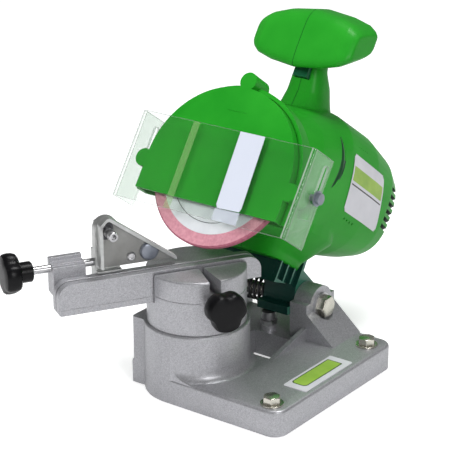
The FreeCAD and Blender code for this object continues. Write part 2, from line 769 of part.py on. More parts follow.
def jaw_blank(label, back_face):
    """One long jaw with its rounded left end and its short raised right end."""
    body = new_body(label, "vise")
    profile = sketch_on(body, "XZ", (0, back_face, 0))
    left, right, top, bottom = -s.jaw_left, s.jaw_right, s.jaw_top, jaw_bottom
    raised = bottom + s.jaw_relief_height
    draw(profile, [(s.jaw_relief, bottom), (s.jaw_relief, raised), (right, raised),
                   (right, top - s.jaw_corner), (right - s.jaw_corner, top, s.jaw_corner),
                   (left + s.jaw_corner, top), (left, top - s.jaw_corner, s.jaw_corner),
                   (left, bottom + s.jaw_toe), (left + s.jaw_toe, bottom, s.jaw_toe)])
    doc.recompute()
    pad(body, profile, s.jaw_thickness)
    for side in (-1, 1):
        tube(body, "Y", (s.jaw_pin_reach * side, 0, s.jaw_pin_height), s.jaw_pin_radius + s.bore_gap,
             -jaw_back - s.overrun, jaw_back + s.overrun, cut=True)
    return body


def jaws():
    back = jaw_blank("back_jaw", jaw_back)
    seat = jaw_face + s.jaw_screw_head + s.flat_gap
    for side in (-1, 1):
        spot = (s.jaw_screw_reach * side, 0, s.jaw_pin_height)
        tube(back, "Y", spot, s.jaw_screw_head_radius + s.bore_gap, jaw_face - s.overrun, seat, cut=True)
        tube(back, "Y", spot, s.jaw_screw_radius + s.bore_gap, seat - s.overrun, jaw_back + s.overrun, cut=True)
    for place_x in nut_screw_places():
        tube(back, "Y", (place_x, 0, nut_screw_height()), s.nut_screw_radius + s.bore_gap, jaw_face,
             jaw_back + s.overrun, cut=True)

    front = jaw_blank("front_jaw", -jaw_face)
    block(front, (-s.jaw_left - s.overrun, -jaw_back - s.overrun, jaw_bottom - s.overrun),
          (s.jaw_relief + s.overrun, s.jaw_step - jaw_back, jaw_bottom + s.jaw_relief_height), True)
    tube(front, "Y", (0, 0, s.clamp_height), s.clamp_tip_radius + s.bore_gap, -jaw_back - s.overrun,
         s.clamp_tip_length - jaw_back, cut=True)

    pins = new_body("jaw_pins", "vise")
    screws = new_body("back_jaw_screws", "vise")
    for side in (-1, 1):
        tube(pins, "Y", (s.jaw_pin_reach * side, 0, s.jaw_pin_height), s.jaw_pin_radius, s.overrun - jaw_back, jaw_back)
        screw(screws, "Y", (s.jaw_screw_reach * side, seat, s.jaw_pin_height), -1, s.jaw_screw_radius,
              s.jaw_screw_length - s.jaw_screw_head, s.jaw_screw_head_radius, s.jaw_screw_head)


def clamp():
    stem = new_body("clamp_screw", "vise")
    tip, shoulder = s.clamp_tip_length - jaw_back - s.bore_gap, -jaw_back - s.flat_gap
    turn(stem, "Y", (0, 0, s.clamp_height), [(0, tip), (s.clamp_tip_radius, tip), (s.clamp_tip_radius, shoulder),
                                             (s.clamp_radius, shoulder), (s.clamp_radius, -s.clamp_reach),
                                             (0, -s.clamp_reach)])
    knob = new_body("clamp_knob", "vise")
    spot = (0, 0, s.clamp_height)
    grip_back = s.clamp_knob_height - s.clamp_knob_front
    lobed_knob(knob, "Y", spot, s.clamp_knob_radius, grip_back, -s.clamp_knob_front)
    tube(knob, "Y", spot, s.clamp_hub_radius, grip_back + s.clamp_hub_length, grip_back - s.overrun)
    tube(knob, "Y", spot, s.clamp_radius + s.bore_gap, -s.clamp_reach - s.bore_gap, grip_back + s.clamp_hub_length
         + s.overrun, cut=True)


def nut_screw_places():
    return [-s.nut_block_left + s.nut_block_length * share for share in NUT_SCREW_SHARES]


def nut_screw_height():
    return (s.nut_block_bottom + s.jaw_top) * 0.5


def chain_stop():
    """The stop on the back jaw: a threaded rod moves the bracket, and the pawl hangs on the bracket."""
    rod_spot = (0, s.rod_back, s.rod_height)
    nut = new_body("stop_nut_block", "vise")
    low = (-s.nut_block_left, jaw_back, s.nut_block_bottom)
    high = (low[0] + s.nut_block_length, jaw_back + s.nut_block_depth, s.nut_block_top)
    block(nut, low, high)
    groove = s.nut_block_channel * 0.5
    floor = s.rod_height + s.rod_radius + s.flat_gap * 2
    block(nut, (low[0] - s.overrun, s.rod_back - groove, floor),
          (high[0] + s.overrun, s.rod_back + groove, high[2] + s.overrun), True)
    tube(nut, "X", rod_spot, s.rod_radius + s.bore_gap, low[0] - s.overrun, high[0] + s.overrun, cut=True)
    screws = new_body("nut_block_screws", "vise")
    for place_x in nut_screw_places():
        spot = (place_x, high[1], nut_screw_height())
        tube(nut, "Y", (place_x, 0, nut_screw_height()), s.nut_screw_radius + s.bore_gap, low[1] - s.overrun,
             high[1] + s.overrun, cut=True)
        screw(screws, "Y", spot, 1, s.nut_screw_radius, s.nut_screw_length, s.nut_screw_head_radius,
              s.nut_screw_radius)

    rod = new_body("stop_rod", "vise")
    tube(rod, "X", rod_spot, s.rod_radius, -s.rod_left, -s.rod_right)
    knob = new_body("stop_knob", "vise")
    grip_right = s.rod_hub_length - s.rod_left
    lobed_knob(knob, "X", rod_spot, s.rod_knob_radius, grip_right - s.rod_knob_height, grip_right)
    tube(knob, "X", rod_spot, s.rod_hub_radius, grip_right - s.overrun, grip_right + s.rod_hub_length)
    tube(knob, "X", rod_spot, s.rod_radius + s.bore_gap, -s.rod_left - s.bore_gap,
         grip_right + s.rod_hub_length + s.overrun, cut=True)

    bracket = new_body("stop_bracket", "vise")
    front = jaw_back + s.bracket_gap
    right = s.bracket_width - s.bracket_left
    pivot = (-s.pawl_pivot_left, 0, s.pawl_pivot_height)
    block(bracket, (-s.bracket_left, front, s.bracket_bottom), (right, front + s.bracket_thickness,
                                                                 s.pawl_pivot_height))
    tube(bracket, "Y", (right - s.bracket_width * 0.5, 0, s.pawl_pivot_height), s.bracket_width * 0.5,
         front + s.bracket_thickness, front)
    lip = s.jaw_top + s.flat_gap
    block(bracket, (-s.bracket_left, s.jaw_slot, lip), (right, front + s.overrun, lip + s.bracket_lip))
    tube(bracket, "X", rod_spot, s.rod_radius + s.bore_gap, -s.bracket_left - s.overrun,
         s.flat_gap - s.rod_right, cut=True)
    tube(bracket, "Y", pivot, s.pawl_bolt_radius + s.bore_gap, front - s.overrun,
         front + s.bracket_thickness + s.overrun, cut=True)

    plate_back = front - s.flat_gap
    plate_front = plate_back - s.pawl_thickness
    pawl = new_body("stop_pawl", "vise")
    outline = sketch_on(pawl, "XZ", (0, plate_back, 0))
    toe = s.pawl_bottom + s.pawl_toe
    left, crest = s.pawl_pivot_left + s.pawl_left_reach, s.pawl_pivot_left + s.pawl_crest_reach
    top = s.pawl_pivot_height + s.pawl_crest_rise
    bevel = left - crest
    draw(outline, [(-left, s.pawl_bottom), (-s.pawl_tip, s.pawl_bottom), (-s.pawl_tip, toe),
                   (-crest, top), (-left, top - bevel)])
    pad(pawl, outline, s.pawl_flange)
    tray = sketch_on(pawl, "XZ", (0, plate_front, 0))
    drop = s.pawl_thickness * 1.2
    draw(tray, [(s.pawl_thickness - left, s.pawl_bottom - s.overrun), (-s.pawl_tip, s.pawl_bottom - s.overrun),
                (-s.pawl_tip, toe - drop), (-crest, top - drop),
                (s.pawl_thickness - left, top - drop - bevel * 0.7)])
    pocket(pawl, tray, s.pawl_flange, True)
    finger = (-s.pawl_finger_left, 0, s.pawl_bottom + s.pawl_finger_radius)
    tube(pawl, "Y", finger, s.pawl_finger_radius, plate_front, plate_front - s.pawl_finger_thickness)
    trim = (-s.pawl_screw_left, plate_front, s.pawl_screw_height)
    tube(pawl, "Y", pivot, s.pawl_bolt_radius + s.bore_gap, plate_back + s.overrun, plate_front - s.overrun, cut=True)
    tube(pawl, "Y", (trim[0], 0, trim[2]), s.pawl_screw_radius + s.bore_gap, plate_back + s.overrun,
         plate_front - s.overrun, cut=True)
    pawl_screw = new_body("pawl_screw", "vise")
    screw(pawl_screw, "Y", trim, -1, s.pawl_screw_radius, s.pawl_thickness, s.pawl_screw_head_radius,
          s.pawl_screw_radius)

    bolt = new_body("pawl_bolt", "vise")
    seat = plate_front - s.flat_gap
    behind = front + s.bracket_thickness
    tube(bolt, "Y", pivot, s.pawl_bolt_head_radius, seat - s.pawl_bolt_head, seat)
    tube(bolt, "Y", pivot, s.pawl_bolt_radius, seat - s.overrun, behind + s.pawl_nut_height + s.overrun)
    tube(bolt, "Y", pivot, s.pawl_bolt_radius * 0.8, seat - s.pawl_bolt_head - s.overrun,
         seat - s.pawl_bolt_head * 0.5, cut=True)
    pawl_nut = new_body("pawl_nut", "vise")
    hexagon(pawl_nut, "XZ", (pivot[0], behind, pivot[2]), s.pawl_nut_flats, s.pawl_nut_height, True)
    tube(pawl_nut, "Y", pivot, s.pawl_bolt_radius + s.bore_gap, behind - s.overrun,
         behind + s.pawl_nut_height + s.overrun, cut=True)


def wheel_stack():
    """The grinding wheel between its paper discs and flanges, on the motor's shaft."""
    half, bore = s.wheel_thickness * 0.5, s.wheel_bore + s.bore_gap
    shaft_bore = s.shaft_radius + s.bore_gap
    wheel = new_body("grinding_wheel", "head")
    tube(wheel, "Z", (0, 0, 0), s.wheel_radius, -half, half, bore)
    blotters = new_body("wheel_blotters", "head")
    tube(blotters, "Z", (0, 0, 0), s.blotter_radius, half, blotter_face, bore)
    tube(blotters, "Z", (0, 0, 0), s.blotter_radius, -blotter_face, -half, bore)
    inner = new_body("inner_flange", "head")
    rear = -blotter_face - s.flange_inner_length
    turn(inner, "Z", (0, 0, 0), [(shaft_bore, -s.motor_front), (s.wheel_bore * 1.3, -s.motor_front), (s.wheel_bore * 1.3, rear), (s.flange_radius, rear), (s.flange_radius, -blotter_face),
                                 (s.wheel_bore, -blotter_face), (s.wheel_bore, blotter_face - s.flat_gap),
                                 (shaft_bore, blotter_face - s.flat_gap)])
    outer = new_body("outer_flange", "head")
    nut_seat = blotter_face + s.flange_thickness
    tube(outer, "Z", (0, 0, 0), s.flange_radius, blotter_face, nut_seat, shaft_bore)
    nut = new_body("arbor_nut", "head")
    hexagon(nut, "XY", (0, 0, nut_seat), s.arbor_nut_flats, s.arbor_nut_height)
    tube(nut, "Z", (0, 0, 0), shaft_bore, blotter_face, nut_seat + s.arbor_nut_height + s.overrun, cut=True)
    shaft = new_body("motor_shaft", "head")
    tube(shaft, "Z", (0, 0, 0), s.shaft_radius, -s.shaft_rear, s.shaft_front)
    for label, radius, front, length in (
            ("rotor_core", s.rotor_radius, s.rotor_front, s.rotor_length),
            ("commutator", s.commutator_radius, s.commutator_front, s.commutator_length),
            ("cooling_fan", s.fan_radius, s.fan_front, s.fan_thickness)):
        turned = new_body(label, "head")
        tube(turned, "Z", (0, 0, 0), radius, -front - length, -front, shaft_bore)
        if label == "rotor_core":
            cut_slots(turned, radius, front, length)


def cut_slots(body, radius, front, length):
    """Winding slots round the rotor's rim."""
    for step in range(ROTOR_SLOTS):
        angle = 2 * math.pi * step / ROTOR_SLOTS
        sketch = sketch_on(body, "XY", (0, 0, -front))
        ring(sketch, (radius * math.cos(angle), radius * math.sin(angle)), radius * 0.12)
        pocket(body, sketch, length)


def motor():
    """A small brushed motor: can, magnets, end caps, bearings and brushes."""
    front, rear, wall = -s.motor_front, -s.motor_rear, s.motor_wall
    cap_back = front - s.motor_cap
    seat = s.bearing_radius + s.bore_gap
    cap = new_body("motor_front_cap", "head")
    tube(cap, "Z", (0, 0, 0), s.motor_radius, cap_back, front, s.shaft_radius * 1.4)
    tube(cap, "Z", (0, 0, 0), seat, front - s.bearing_width - s.flat_gap, front + s.overrun, cut=True)
    can = new_body("motor_can", "head")
    tube(can, "Z", (0, 0, 0), s.motor_radius, rear, cap_back, s.motor_radius - wall)
    inside = s.motor_radius - wall - s.bore_gap
    rear_cap = new_body("motor_rear_cap", "head")
    rear_face = rear + s.bearing_width + wall
    tube(rear_cap, "Z", (0, 0, 0), inside, rear, rear_face, s.shaft_radius * 1.4)
    tube(rear_cap, "Z", (0, 0, 0), seat, rear + wall, rear_face + s.overrun, cut=True)
    bearings = new_body("shaft_bearings", "head")
    for start in (front - s.bearing_width - s.flat_gap, rear + wall):
        tube(bearings, "Z", (0, 0, 0), s.bearing_radius, start, start + s.bearing_width,
             s.shaft_radius + s.bore_gap)
    magnets = new_body("field_magnets", "head")
    magnet_rear = -s.rotor_front - s.rotor_length
    tube(magnets, "Z", (0, 0, 0), inside, magnet_rear, -s.rotor_front, inside - s.magnet_thickness)
    block(magnets, (-s.motor_radius, -s.brush_width, magnet_rear - s.overrun),
          (s.motor_radius, s.brush_width, s.overrun - s.rotor_front), True)
    brushes, boxes = new_body("carbon_brushes", "head"), new_body("brush_boxes", "head")
    middle = -s.commutator_front - s.commutator_length * 0.5
    half, box = s.brush_width * 0.5, s.brush_width * 0.5 + s.brush_box_wall
    start = s.commutator_radius + s.bore_gap
    for side in (-1, 1):
        ends = sorted((start * side, (start + s.brush_length) * side), key=lambda size: size.number)
        block(brushes, (ends[0], -half, middle - half), (ends[1], half, middle + half))
        ends = sorted(((start + s.overrun) * side, inside * 0.98 * side), key=lambda size: size.number)
        block(boxes, (ends[0], -box, middle - box), (ends[1], box, middle + box))
        inner = half + s.bore_gap
        block(boxes, (ends[0] - s.overrun, -inner, middle - inner), (ends[1] + s.overrun, inner, middle + inner), True)


def lobe_spots():
    return [(-s.lobe_side, s.lobe_side_up), (s.lobe_side, s.lobe_side_up), (0, s.lobe_top_up)]


def shield(label, radius, wall, back, front, lobe_back, lobe_front):
    """A round half of the guard with straight skirts down to the level chord, and screw lobes."""
    body = new_body(label, "head")
    tube(body, "Z", (0, 0, 0), radius, back, front)
    block(body, (-radius, -s.guard_chord, back), (radius, 0, front))
    for across, up in lobe_spots():
        tube(body, "Z", (across, up, 0), s.lobe_pad_radius, lobe_back, lobe_front)
    return body


def guard():
    rear = -s.motor_front
    back = shield("guard_back", s.guard_radius, s.guard_rim, rear, s.guard_rim_front, rear, s.guard_rim_front)
    inner = s.guard_radius - s.guard_rim
    floor = rear + s.guard_plate
    tube(back, "Z", (0, 0, 0), inner, floor, s.guard_rim_front + s.overrun, cut=True)
    block(back, (-inner, -s.guard_chord - s.overrun, floor), (inner, 0, s.guard_rim_front + s.overrun), True)
    far = s.guard_radius + s.lobe_pad_radius * 2
    block(back, (-far, -far, rear - s.overrun), (far, -s.guard_chord, s.cover_front), True)
    tube(back, "Z", (0, 0, 0), s.guard_nose_hole, rear - s.overrun, floor + s.overrun, cut=True)

    cover = shield("guard_cover", s.cover_radius, s.cover_wall, -s.cover_rim_back, s.cover_front,
                   s.guard_rim_front, s.cover_front)
    tube(cover, "Z", (0, 0, 0), s.dome_radius, s.cover_front - s.overrun, s.cover_front + s.dome_rise)
    inner, ceiling = s.cover_radius - s.cover_wall, s.cover_front - s.cover_wall
    tube(cover, "Z", (0, 0, 0), inner, -s.cover_rim_back - s.overrun, ceiling, cut=True)
    block(cover, (-inner, -s.guard_chord - s.overrun, -s.cover_rim_back - s.overrun), (inner, 0, ceiling), True)
    tube(cover, "Z", (0, 0, 0), s.dome_radius - s.cover_wall, ceiling - s.overrun, ceiling + s.dome_rise, cut=True)
    block(cover, (-far, -far, rear), (far, -s.guard_chord, s.cover_front + s.overrun), True)
    screws = new_body("guard_screws", "head")
    for across, up in lobe_spots():
        tip = rear + s.guard_screw_length
        for half, low, high in ((back, rear, s.guard_rim_front + s.overrun), (cover, s.guard_rim_front, tip + s.flat_gap)):
            tube(half, "Z", (across, up, 0), s.guard_screw_radius + s.bore_gap, low - s.overrun, high, cut=True)
        screw(screws, "Z", (across, up, rear), -1, s.guard_screw_radius, s.guard_screw_length,
              s.guard_screw_head_radius, s.guard_screw_radius)


def visor():
    """The clear shield: a bent sheet with a slot in each flap, held by a screw and washer on a lug."""
    body = new_body("visor", "head")
    wide, thick, front, back = s.visor_half_width, s.visor_thickness, s.visor_inner_front, -s.visor_flap_back
    sheet_edge = sketch_on(body, "XZ", (0, s.visor_high, 0))
    draw(sheet_edge, [(-wide, back), (thick - wide, back), (thick - wide, front), (wide - thick, front),
                      (wide - thick, back), (wide, back), (wide, front + thick), (-wide, front + thick)])
    pad(body, sheet_edge, s.visor_high + s.visor_low)
    reach, room, depth = wide + s.overrun, s.visor_screw_radius + s.flat_gap * 0.5, -s.visor_slot_back
    block(body, (-reach, s.visor_slot_low, depth - room), (reach, s.visor_slot_high, depth + room), True)
    for up in (s.visor_slot_low, s.visor_slot_high):
        tube(body, "X", (0, up, depth), room, -reach, reach, cut=True)

    lugs, screws, washers = (new_body(label, "head") for label in ("visor_lugs", "visor_screws", "visor_washers"))
    lug_end = wide - thick - s.visor_gap
    for side in (-1, 1):
        ends = sorted((s.guard_radius * side, lug_end * side), key=lambda size: size.number)
        middle = s.visor_slot_low - s.lobe_pad_radius * 0.5
        block(lugs, (ends[0], middle - s.lug_height * 0.5 - s.lobe_pad_radius, depth - s.lug_depth * 0.5),
              (ends[1], middle + s.lug_height * 0.5, -s.motor_front))
        seat = wide + s.visor_gap
        start = (seat + s.visor_washer_thickness) * side
        tube(washers, "X", (0, s.visor_slot_low, depth), s.visor_washer_radius, seat * side, start,
             s.visor_screw_radius + s.bore_gap)
        screw(screws, "X", (start, s.visor_slot_low, depth), side, s.visor_screw_radius, s.visor_screw_length,
              s.visor_screw_head_radius, s.visor_screw_head)
        tube(lugs, "X", (0, s.visor_slot_low, depth), s.visor_screw_radius + s.bore_gap, s.guard_radius * side,
             (wide + s.overrun) * side, cut=True)
        tube(lugs, "Z", (s.lobe_side * side, s.lobe_side_up, 0), s.guard_screw_head_radius + s.flat_gap,
             depth - s.lug_depth, s.overrun - s.motor_front, cut=True)


def loop(centre, across, up, taper=0, power=SECTION_POWER):
    """A closed smooth section: a rounded box given by its centre and its two half sizes as vectors."""
    points = []
    for step in range(SECTION_POINTS):
        angle = 2 * math.pi * step / SECTION_POINTS
        cosine, sine = math.cos(angle), math.sin(angle)
        side = math.copysign(abs(cosine) ** (2 / power), cosine)
        rise = math.copysign(abs(sine) ** (2 / power), sine)
        points.append(centre + across * side + up * rise * (1 - taper * side))
    curve = Part.BSplineCurve()
    curve.interpolate(points, PeriodicFlag=True)
    return Part.Wire(curve.toShape())


def barrel(shrink, ends):
    """The motor barrel, thinner all round by one size and shorter at both ends by another."""
    sections = []
    for along, width, height, rise in BARREL_SHARES:
        behind = s.barrel_front.number + ends + (s.barrel_length.number - 2 * ends) * along
        centre = FreeCAD.Vector(0, s.barrel_rise.number * rise, -behind)
        sections.append(loop(centre, X * (s.barrel_half_width.number * width - shrink),
                             Y * (s.barrel_half_height.number * height - shrink)))
    return Part.makeLoft(sections, True, False)


def neck(shrink):
    sections = []
    low, high = s.neck_foot_up.number, s.neck_top_up.number
    for along, width, depth, lean in NECK_SHARES:
        centre = FreeCAD.Vector(0, low + (high - low) * along, -s.neck_back.number * lean)
        sections.append(loop(centre, X * (s.neck_half_width.number * width - shrink),
                             Z * (s.neck_half_depth.number * depth - shrink)))
    return Part.makeLoft(sections, True, False)


def grip(shrink):
    sections = []
    for along, height, depth in GRIP_SHARES:
        centre = FreeCAD.Vector((s.grip_half_length.number - shrink) * along, s.grip_up.number,
                                -s.grip_back.number - s.grip_sweep.number * along * along)
        back = Y * (s.grip_lean.number * depth) - Z * (s.grip_half_depth.number * depth - shrink)
        sections.append(loop(centre, back, Y * (s.grip_half_height.number * height - shrink), GRIP_TAPER_SHARE))
    return Part.makeLoft(sections, True, False)


def skirt(shrink):
    """The lower front of the shell: it narrows from the barrel's sides down to the top of the foot."""
    sections = []
    for drop, width, depth, back in SKIRT_SHARES:
        centre = FreeCAD.Vector(0, -(s.skirt_drop.number - shrink) * drop, -s.skirt_back.number * back)
        sections.append(loop(centre, X * (s.skirt_half_width.number * width - shrink),
                             Z * (s.skirt_half_depth.number * depth - shrink), power=SKIRT_POWER))
    return Part.makeLoft(sections, True, False)


def box(low, high):
    low, high = ([as_size(side).number for side in corner] for corner in (low, high))
    return Part.makeBox(*(b - a for a, b in zip(low, high)), FreeCAD.Vector(*low))


def rod(axis, spot, radius, start, end):
    """A plain cylinder along one axis through a point."""
    way = {"X": X, "Y": Y, "Z": Z}[axis]
    spot = FreeCAD.Vector(*(as_size(side).number for side in spot))
    start, end, radius = (as_size(side).number for side in (start, end, radius))
    return Part.makeCylinder(radius, end - start, spot + way * start, way)


def shell_screw_spots():
    return [(s.barrel_half_height * up, -s.barrel_front - s.barrel_length * behind) for up, behind in SHELL_SCREW_SHARES]


def housing():
    """Two hollow halves that meet on the middle plane: barrel, neck and grip in one skin."""
    wall, reach = s.shell_wall.number, s.barrel_half_width + s.overrun
    outer = barrel(0, 0).fuse([neck(0), grip(0), skirt(0)])
    inner = barrel(wall, wall).fuse([neck(wall), grip(wall), skirt(wall)])
    skin = outer.cut(inner)
    screws = new_body("housing_screws", "head")
    for up, along in shell_screw_spots():
        skin = skin.fuse(rod("X", (0, up, along), s.shell_boss_radius, -reach, reach).common(outer))
    rings = []
    for behind in (s.motor_rear * 0.35, s.motor_rear * 0.85):
        slab = box((-reach, -reach * 2, -behind - s.shell_wall), (reach, reach * 2, -behind))
        rings.append(slab.common(inner))
    front = -s.trigger_front - s.trigger_length - s.trigger_travel - s.flat_gap
    seat = s.trigger_width * 0.5 + s.bore_gap
    rest = s.trigger_height * 0.3
    for low, high in ((-reach, -seat), (seat, reach)):
        rings.append(box((low, s.trigger_up - rest, front - s.switch_depth),
                         (high, s.trigger_up + rest, front)).common(neck(wall)))
    skin = skin.fuse(rings)
    skin = skin.cut(rod("Z", (0, 0, 0), s.motor_radius + s.bore_gap, -s.motor_rear - s.overrun, s.overrun))
    for up, along in shell_screw_spots():
        seat = -s.shell_screw_length * 0.6
        skin = skin.cut(rod("X", (0, up, along), s.shell_screw_radius + s.bore_gap, seat - s.overrun,
                            seat + s.shell_screw_length + s.overrun))
        skin = skin.cut(rod("X", (0, up, along), s.shell_screw_head_radius + s.flat_gap, -reach, seat))
        screw(screws, "X", (seat, up, along), -1, s.shell_screw_radius, s.shell_screw_length,
              s.shell_screw_head_radius, s.shell_screw_head)
    rear = -s.barrel_front - s.barrel_length
    for step in range(SIZES["vent_count"]):
        low = s.vent_low + s.vent_pitch * step
        skin = skin.cut(box((s.barrel_half_width * 0.72, low, rear - s.overrun),
                            (reach, low + s.vent_width, rear + s.vent_depth)))
    skin = skin.cut(rod("Z", (-s.gland_left, s.gland_up, 0), s.gland_neck_radius + s.bore_gap,
                        rear - s.overrun, rear + s.gland_flange * 2))
    gap = s.flat_gap
    half, up = s.trigger_width * 0.5, s.trigger_height * 0.5
    skin = skin.cut(box((-half - gap, s.trigger_up - up - gap, -s.trigger_front - s.trigger_length),
                        (half + gap, s.trigger_up + up + gap, s.overrun - s.trigger_front)))
    far = s.grip_up * 2
    for label, low, high in (("housing_left", -reach, as_size(0)), ("housing_right", as_size(0), reach)):
        shaped(label, "head", skin.common(box((low, -far, -far), (high, far, far))))

    sticker = barrel(-s.sticker_thickness.number, 0).cut(barrel(-s.bore_gap.number, 0))
    patch = box((0, s.sticker_low, -s.sticker_front - s.sticker_length),
                (reach, s.sticker_low + s.sticker_height, -s.sticker_front))
    shaped("housing_label_plate", "head", sticker.common(patch))
    return outer


def switchgear():
    half, up = s.trigger_width * 0.5, s.trigger_height * 0.5
    button = new_body("trigger_button", "head")
    block(button, (-half, s.trigger_up - up, -s.trigger_front - s.trigger_length),
          (half, s.trigger_up + up, -s.trigger_front))
    front = -s.trigger_front - s.trigger_length - s.trigger_travel - s.flat_gap
    switch = new_body("switch_body", "head")
    block(switch, (-half, s.trigger_up - up * 1.1, front - s.switch_depth), (half, s.trigger_up + up * 1.1, front))
    gland = new_body("cord_gland", "head")
    rear = -s.barrel_front - s.barrel_length
    spot = (-s.gland_left, s.gland_up, 0)
    turn(gland, "Z", spot, [(s.gland_bore, rear - s.gland_flange), (s.gland_radius, rear - s.gland_flange),
                            (s.gland_radius, rear), (s.gland_neck_radius, rear),
                            (s.gland_neck_radius, rear + s.gland_flange), (s.gland_bore, rear + s.gland_flange)])


def foot(outer):
    """The bracket under the motor that turns on the hinge; its top is shaped to the shell's skin."""
    blank = new_body("foot_blank", "base")
    pieces.remove(blank)
    right = s.ear_inner - s.flat_gap
    left = -right
    side = sketch_on(blank, "YZ", (left, 0, 0))
    draw(side, [(s.foot_toe_back, s.foot_toe_height), (s.foot_knee_back, s.foot_knee_height),
                (s.foot_nape_back, s.foot_nape_height), (s.foot_rear_back, s.foot_rear_height),
                (s.foot_brow_back, s.foot_brow_height)])
    pad(blank, side, right - left)
    web = sketch_on(blank, "YZ", (s.foot_start, 0, 0))
    draw(web, [(s.foot_knee_back, s.foot_knee_height), (s.hinge_back - s.foot_heel_radius, s.hinge_height),
               (s.hinge_back, s.hinge_height), (s.foot_web_back, s.foot_web_height),
               (s.foot_nape_back, s.foot_nape_height)])
    pad(blank, web, right - s.foot_start)
    tube(blank, "X", hinge_spot, s.foot_heel_radius, s.foot_start, right)
    block(blank, (s.foot_start, s.stop_lip_front, s.stop_lip_bottom),
          (right, s.hinge_back, s.stop_lip_bottom + s.stop_lip_height))
    tube(blank, "X", hinge_spot, s.hinge_radius + s.bore_gap, s.foot_start - s.overrun, right + s.overrun, cut=True)

    grooves = new_body("foot_grooves", "head")
    pieces.remove(grooves)
    rear = s.skirt_back + s.skirt_half_depth
    for step in range(SIZES["foot_rib_count"]):
        start = s.foot_rib_width - rear + s.foot_rib_pitch * step
        block(grooves, (right - s.foot_rib_depth, -s.foot_rib_drop, start),
              (right + s.overrun, s.overrun - s.skirt_drop, start + s.foot_rib_pitch - s.foot_rib_width))
    core = shaped("housing_form", "head", outer, keep=False)
    ribbed = doc.addObject("Part::Cut", "foot_ribbed")
    ribbed.Base, ribbed.Tool = blank, grooves
    gather("head_foot", "Cut", ribbed, core)


base_casting()
base_fittings()
return_spring()
vise_turret()
vise_lock()
jaws()
clamp()
chain_stop()
wheel_stack()
motor()
guard()
visor()
skin_form = housing()
switchgear()
foot(skin_form)

doc.recompute()
for item in doc.Objects:
    assert not {"Invalid", "Error"} & set(item.State), f"{item.Label} did not rebuild"
for piece in pieces:
    shape = piece.Shape
    assert not shape.isNull() and shape.isValid(), f"{piece.Label} has no valid shape"
    assert len(shape.Solids) > 0, f"{piece.Label} has no solid"
os.makedirs("parts", exist_ok=True)
for piece in pieces:
    piece.Shape.exportStep(f"parts/{piece.Label}.step")
print("pieces:", len(pieces))
for piece in pieces:
    bounds = piece.Shape.BoundBox
    print(piece.Label, "solids", len(piece.Shape.Solids), "volume", round(piece.Shape.Volume),
          "low", [round(v, 1) for v in (bounds.XMin, bounds.YMin, bounds.ZMin)],
          "high", [round(v, 1) for v in (bounds.XMax, bounds.YMax, bounds.ZMax)])
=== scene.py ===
import json
import math

import bmesh
import bpy
from mathutils import Matrix, Vector
from mathutils.bvhtree import BVHTree


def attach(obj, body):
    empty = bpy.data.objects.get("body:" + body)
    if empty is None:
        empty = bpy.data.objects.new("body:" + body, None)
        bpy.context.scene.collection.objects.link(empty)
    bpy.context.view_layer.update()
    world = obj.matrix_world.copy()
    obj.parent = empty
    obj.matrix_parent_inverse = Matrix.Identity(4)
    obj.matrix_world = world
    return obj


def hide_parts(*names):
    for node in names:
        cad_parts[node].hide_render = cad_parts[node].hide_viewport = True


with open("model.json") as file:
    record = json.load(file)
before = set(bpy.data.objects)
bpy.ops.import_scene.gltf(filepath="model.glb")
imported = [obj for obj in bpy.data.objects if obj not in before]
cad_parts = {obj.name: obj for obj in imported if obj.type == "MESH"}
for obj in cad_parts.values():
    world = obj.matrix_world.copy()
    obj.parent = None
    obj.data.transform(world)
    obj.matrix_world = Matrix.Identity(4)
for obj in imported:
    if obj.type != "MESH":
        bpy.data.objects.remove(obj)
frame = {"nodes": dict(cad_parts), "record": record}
MM = 0.001

# Three sets of axes: the base, the vise turned on it, and the tilted head. Each maps millimetres to the row.
ORIGIN = Vector((-75.8, -29.5, 0.0))
VISE_TURN = math.radians(58.8)
TILT = math.radians(90 - 35.2)
BASE = Matrix.Translation(ORIGIN)
VISE = Matrix.Translation(ORIGIN) @ Matrix.Rotation(VISE_TURN, 4, "Z")
HEAD = Matrix.Translation(ORIGIN + Vector((0, 28.9, 135.9))) @ Matrix.Rotation(TILT, 4, "X")
SCALE = Matrix.Diagonal((MM, MM, MM, 1.0))


# Sizes of the CAD frame that several pieces share, in millimetres of their own axes.
DRUM_RADIUS, DRUM_TOP = 34, 47.2
TURRET_RADIUS, TURRET_BOTTOM, TURRET_TOP = 32, 47.5, 83.2
PLATE_LEFT, PLATE_RIGHT, PLATE_BACK, PLATE_TOP = -36, 87.7, 98, 17
HINGE = (0, 82, 37)
HINGE_RADIUS, BOSS_RADIUS = 4, 13
EAR_FRONT, EAR_TOP, EAR_OUTER = 65.4, 41.6, 40
BENCH_BOLT_RIGHT = 75.8
BENCH_BOLT_PLACES = (-24, 83)
DEPTH_STOP = (9, 66.5, 0)
CLAMP = (0, 0, 70.5)
ROD = (0, 12, 90.3)
JAW_TOP, JAW_PIN_HEIGHT = 85, 79
PIN_HOLE, ROD_HOLE = 2.05, 2.55
PAWL_PIVOT, PAWL_SCREW, PAWL_BUMP = (-57, 0, 112.6), (-42, 0, 93.5), (-30, 0, 95.5)
GUARD_RADIUS, COVER_RADIUS, CHORD = 58, 55, -24
LOBES = ((-57, -4), (57, -4), (0, 59.4))
LOBE_RADIUS = 6
VISOR_LOW, VISOR_HIGH, VISOR_FACE = -33.5, 25.7, 13.6
WHEEL_RADIUS, WHEEL_HALF, PAPER_RADIUS, BORE_RADIUS = 50.0, 2.25, 41.6, 5.05
MIDDLE_PLANE = ORIGIN.x * MM
GRAIN_HEIGHT = 0.0003
CIRCLE = 2 * math.pi
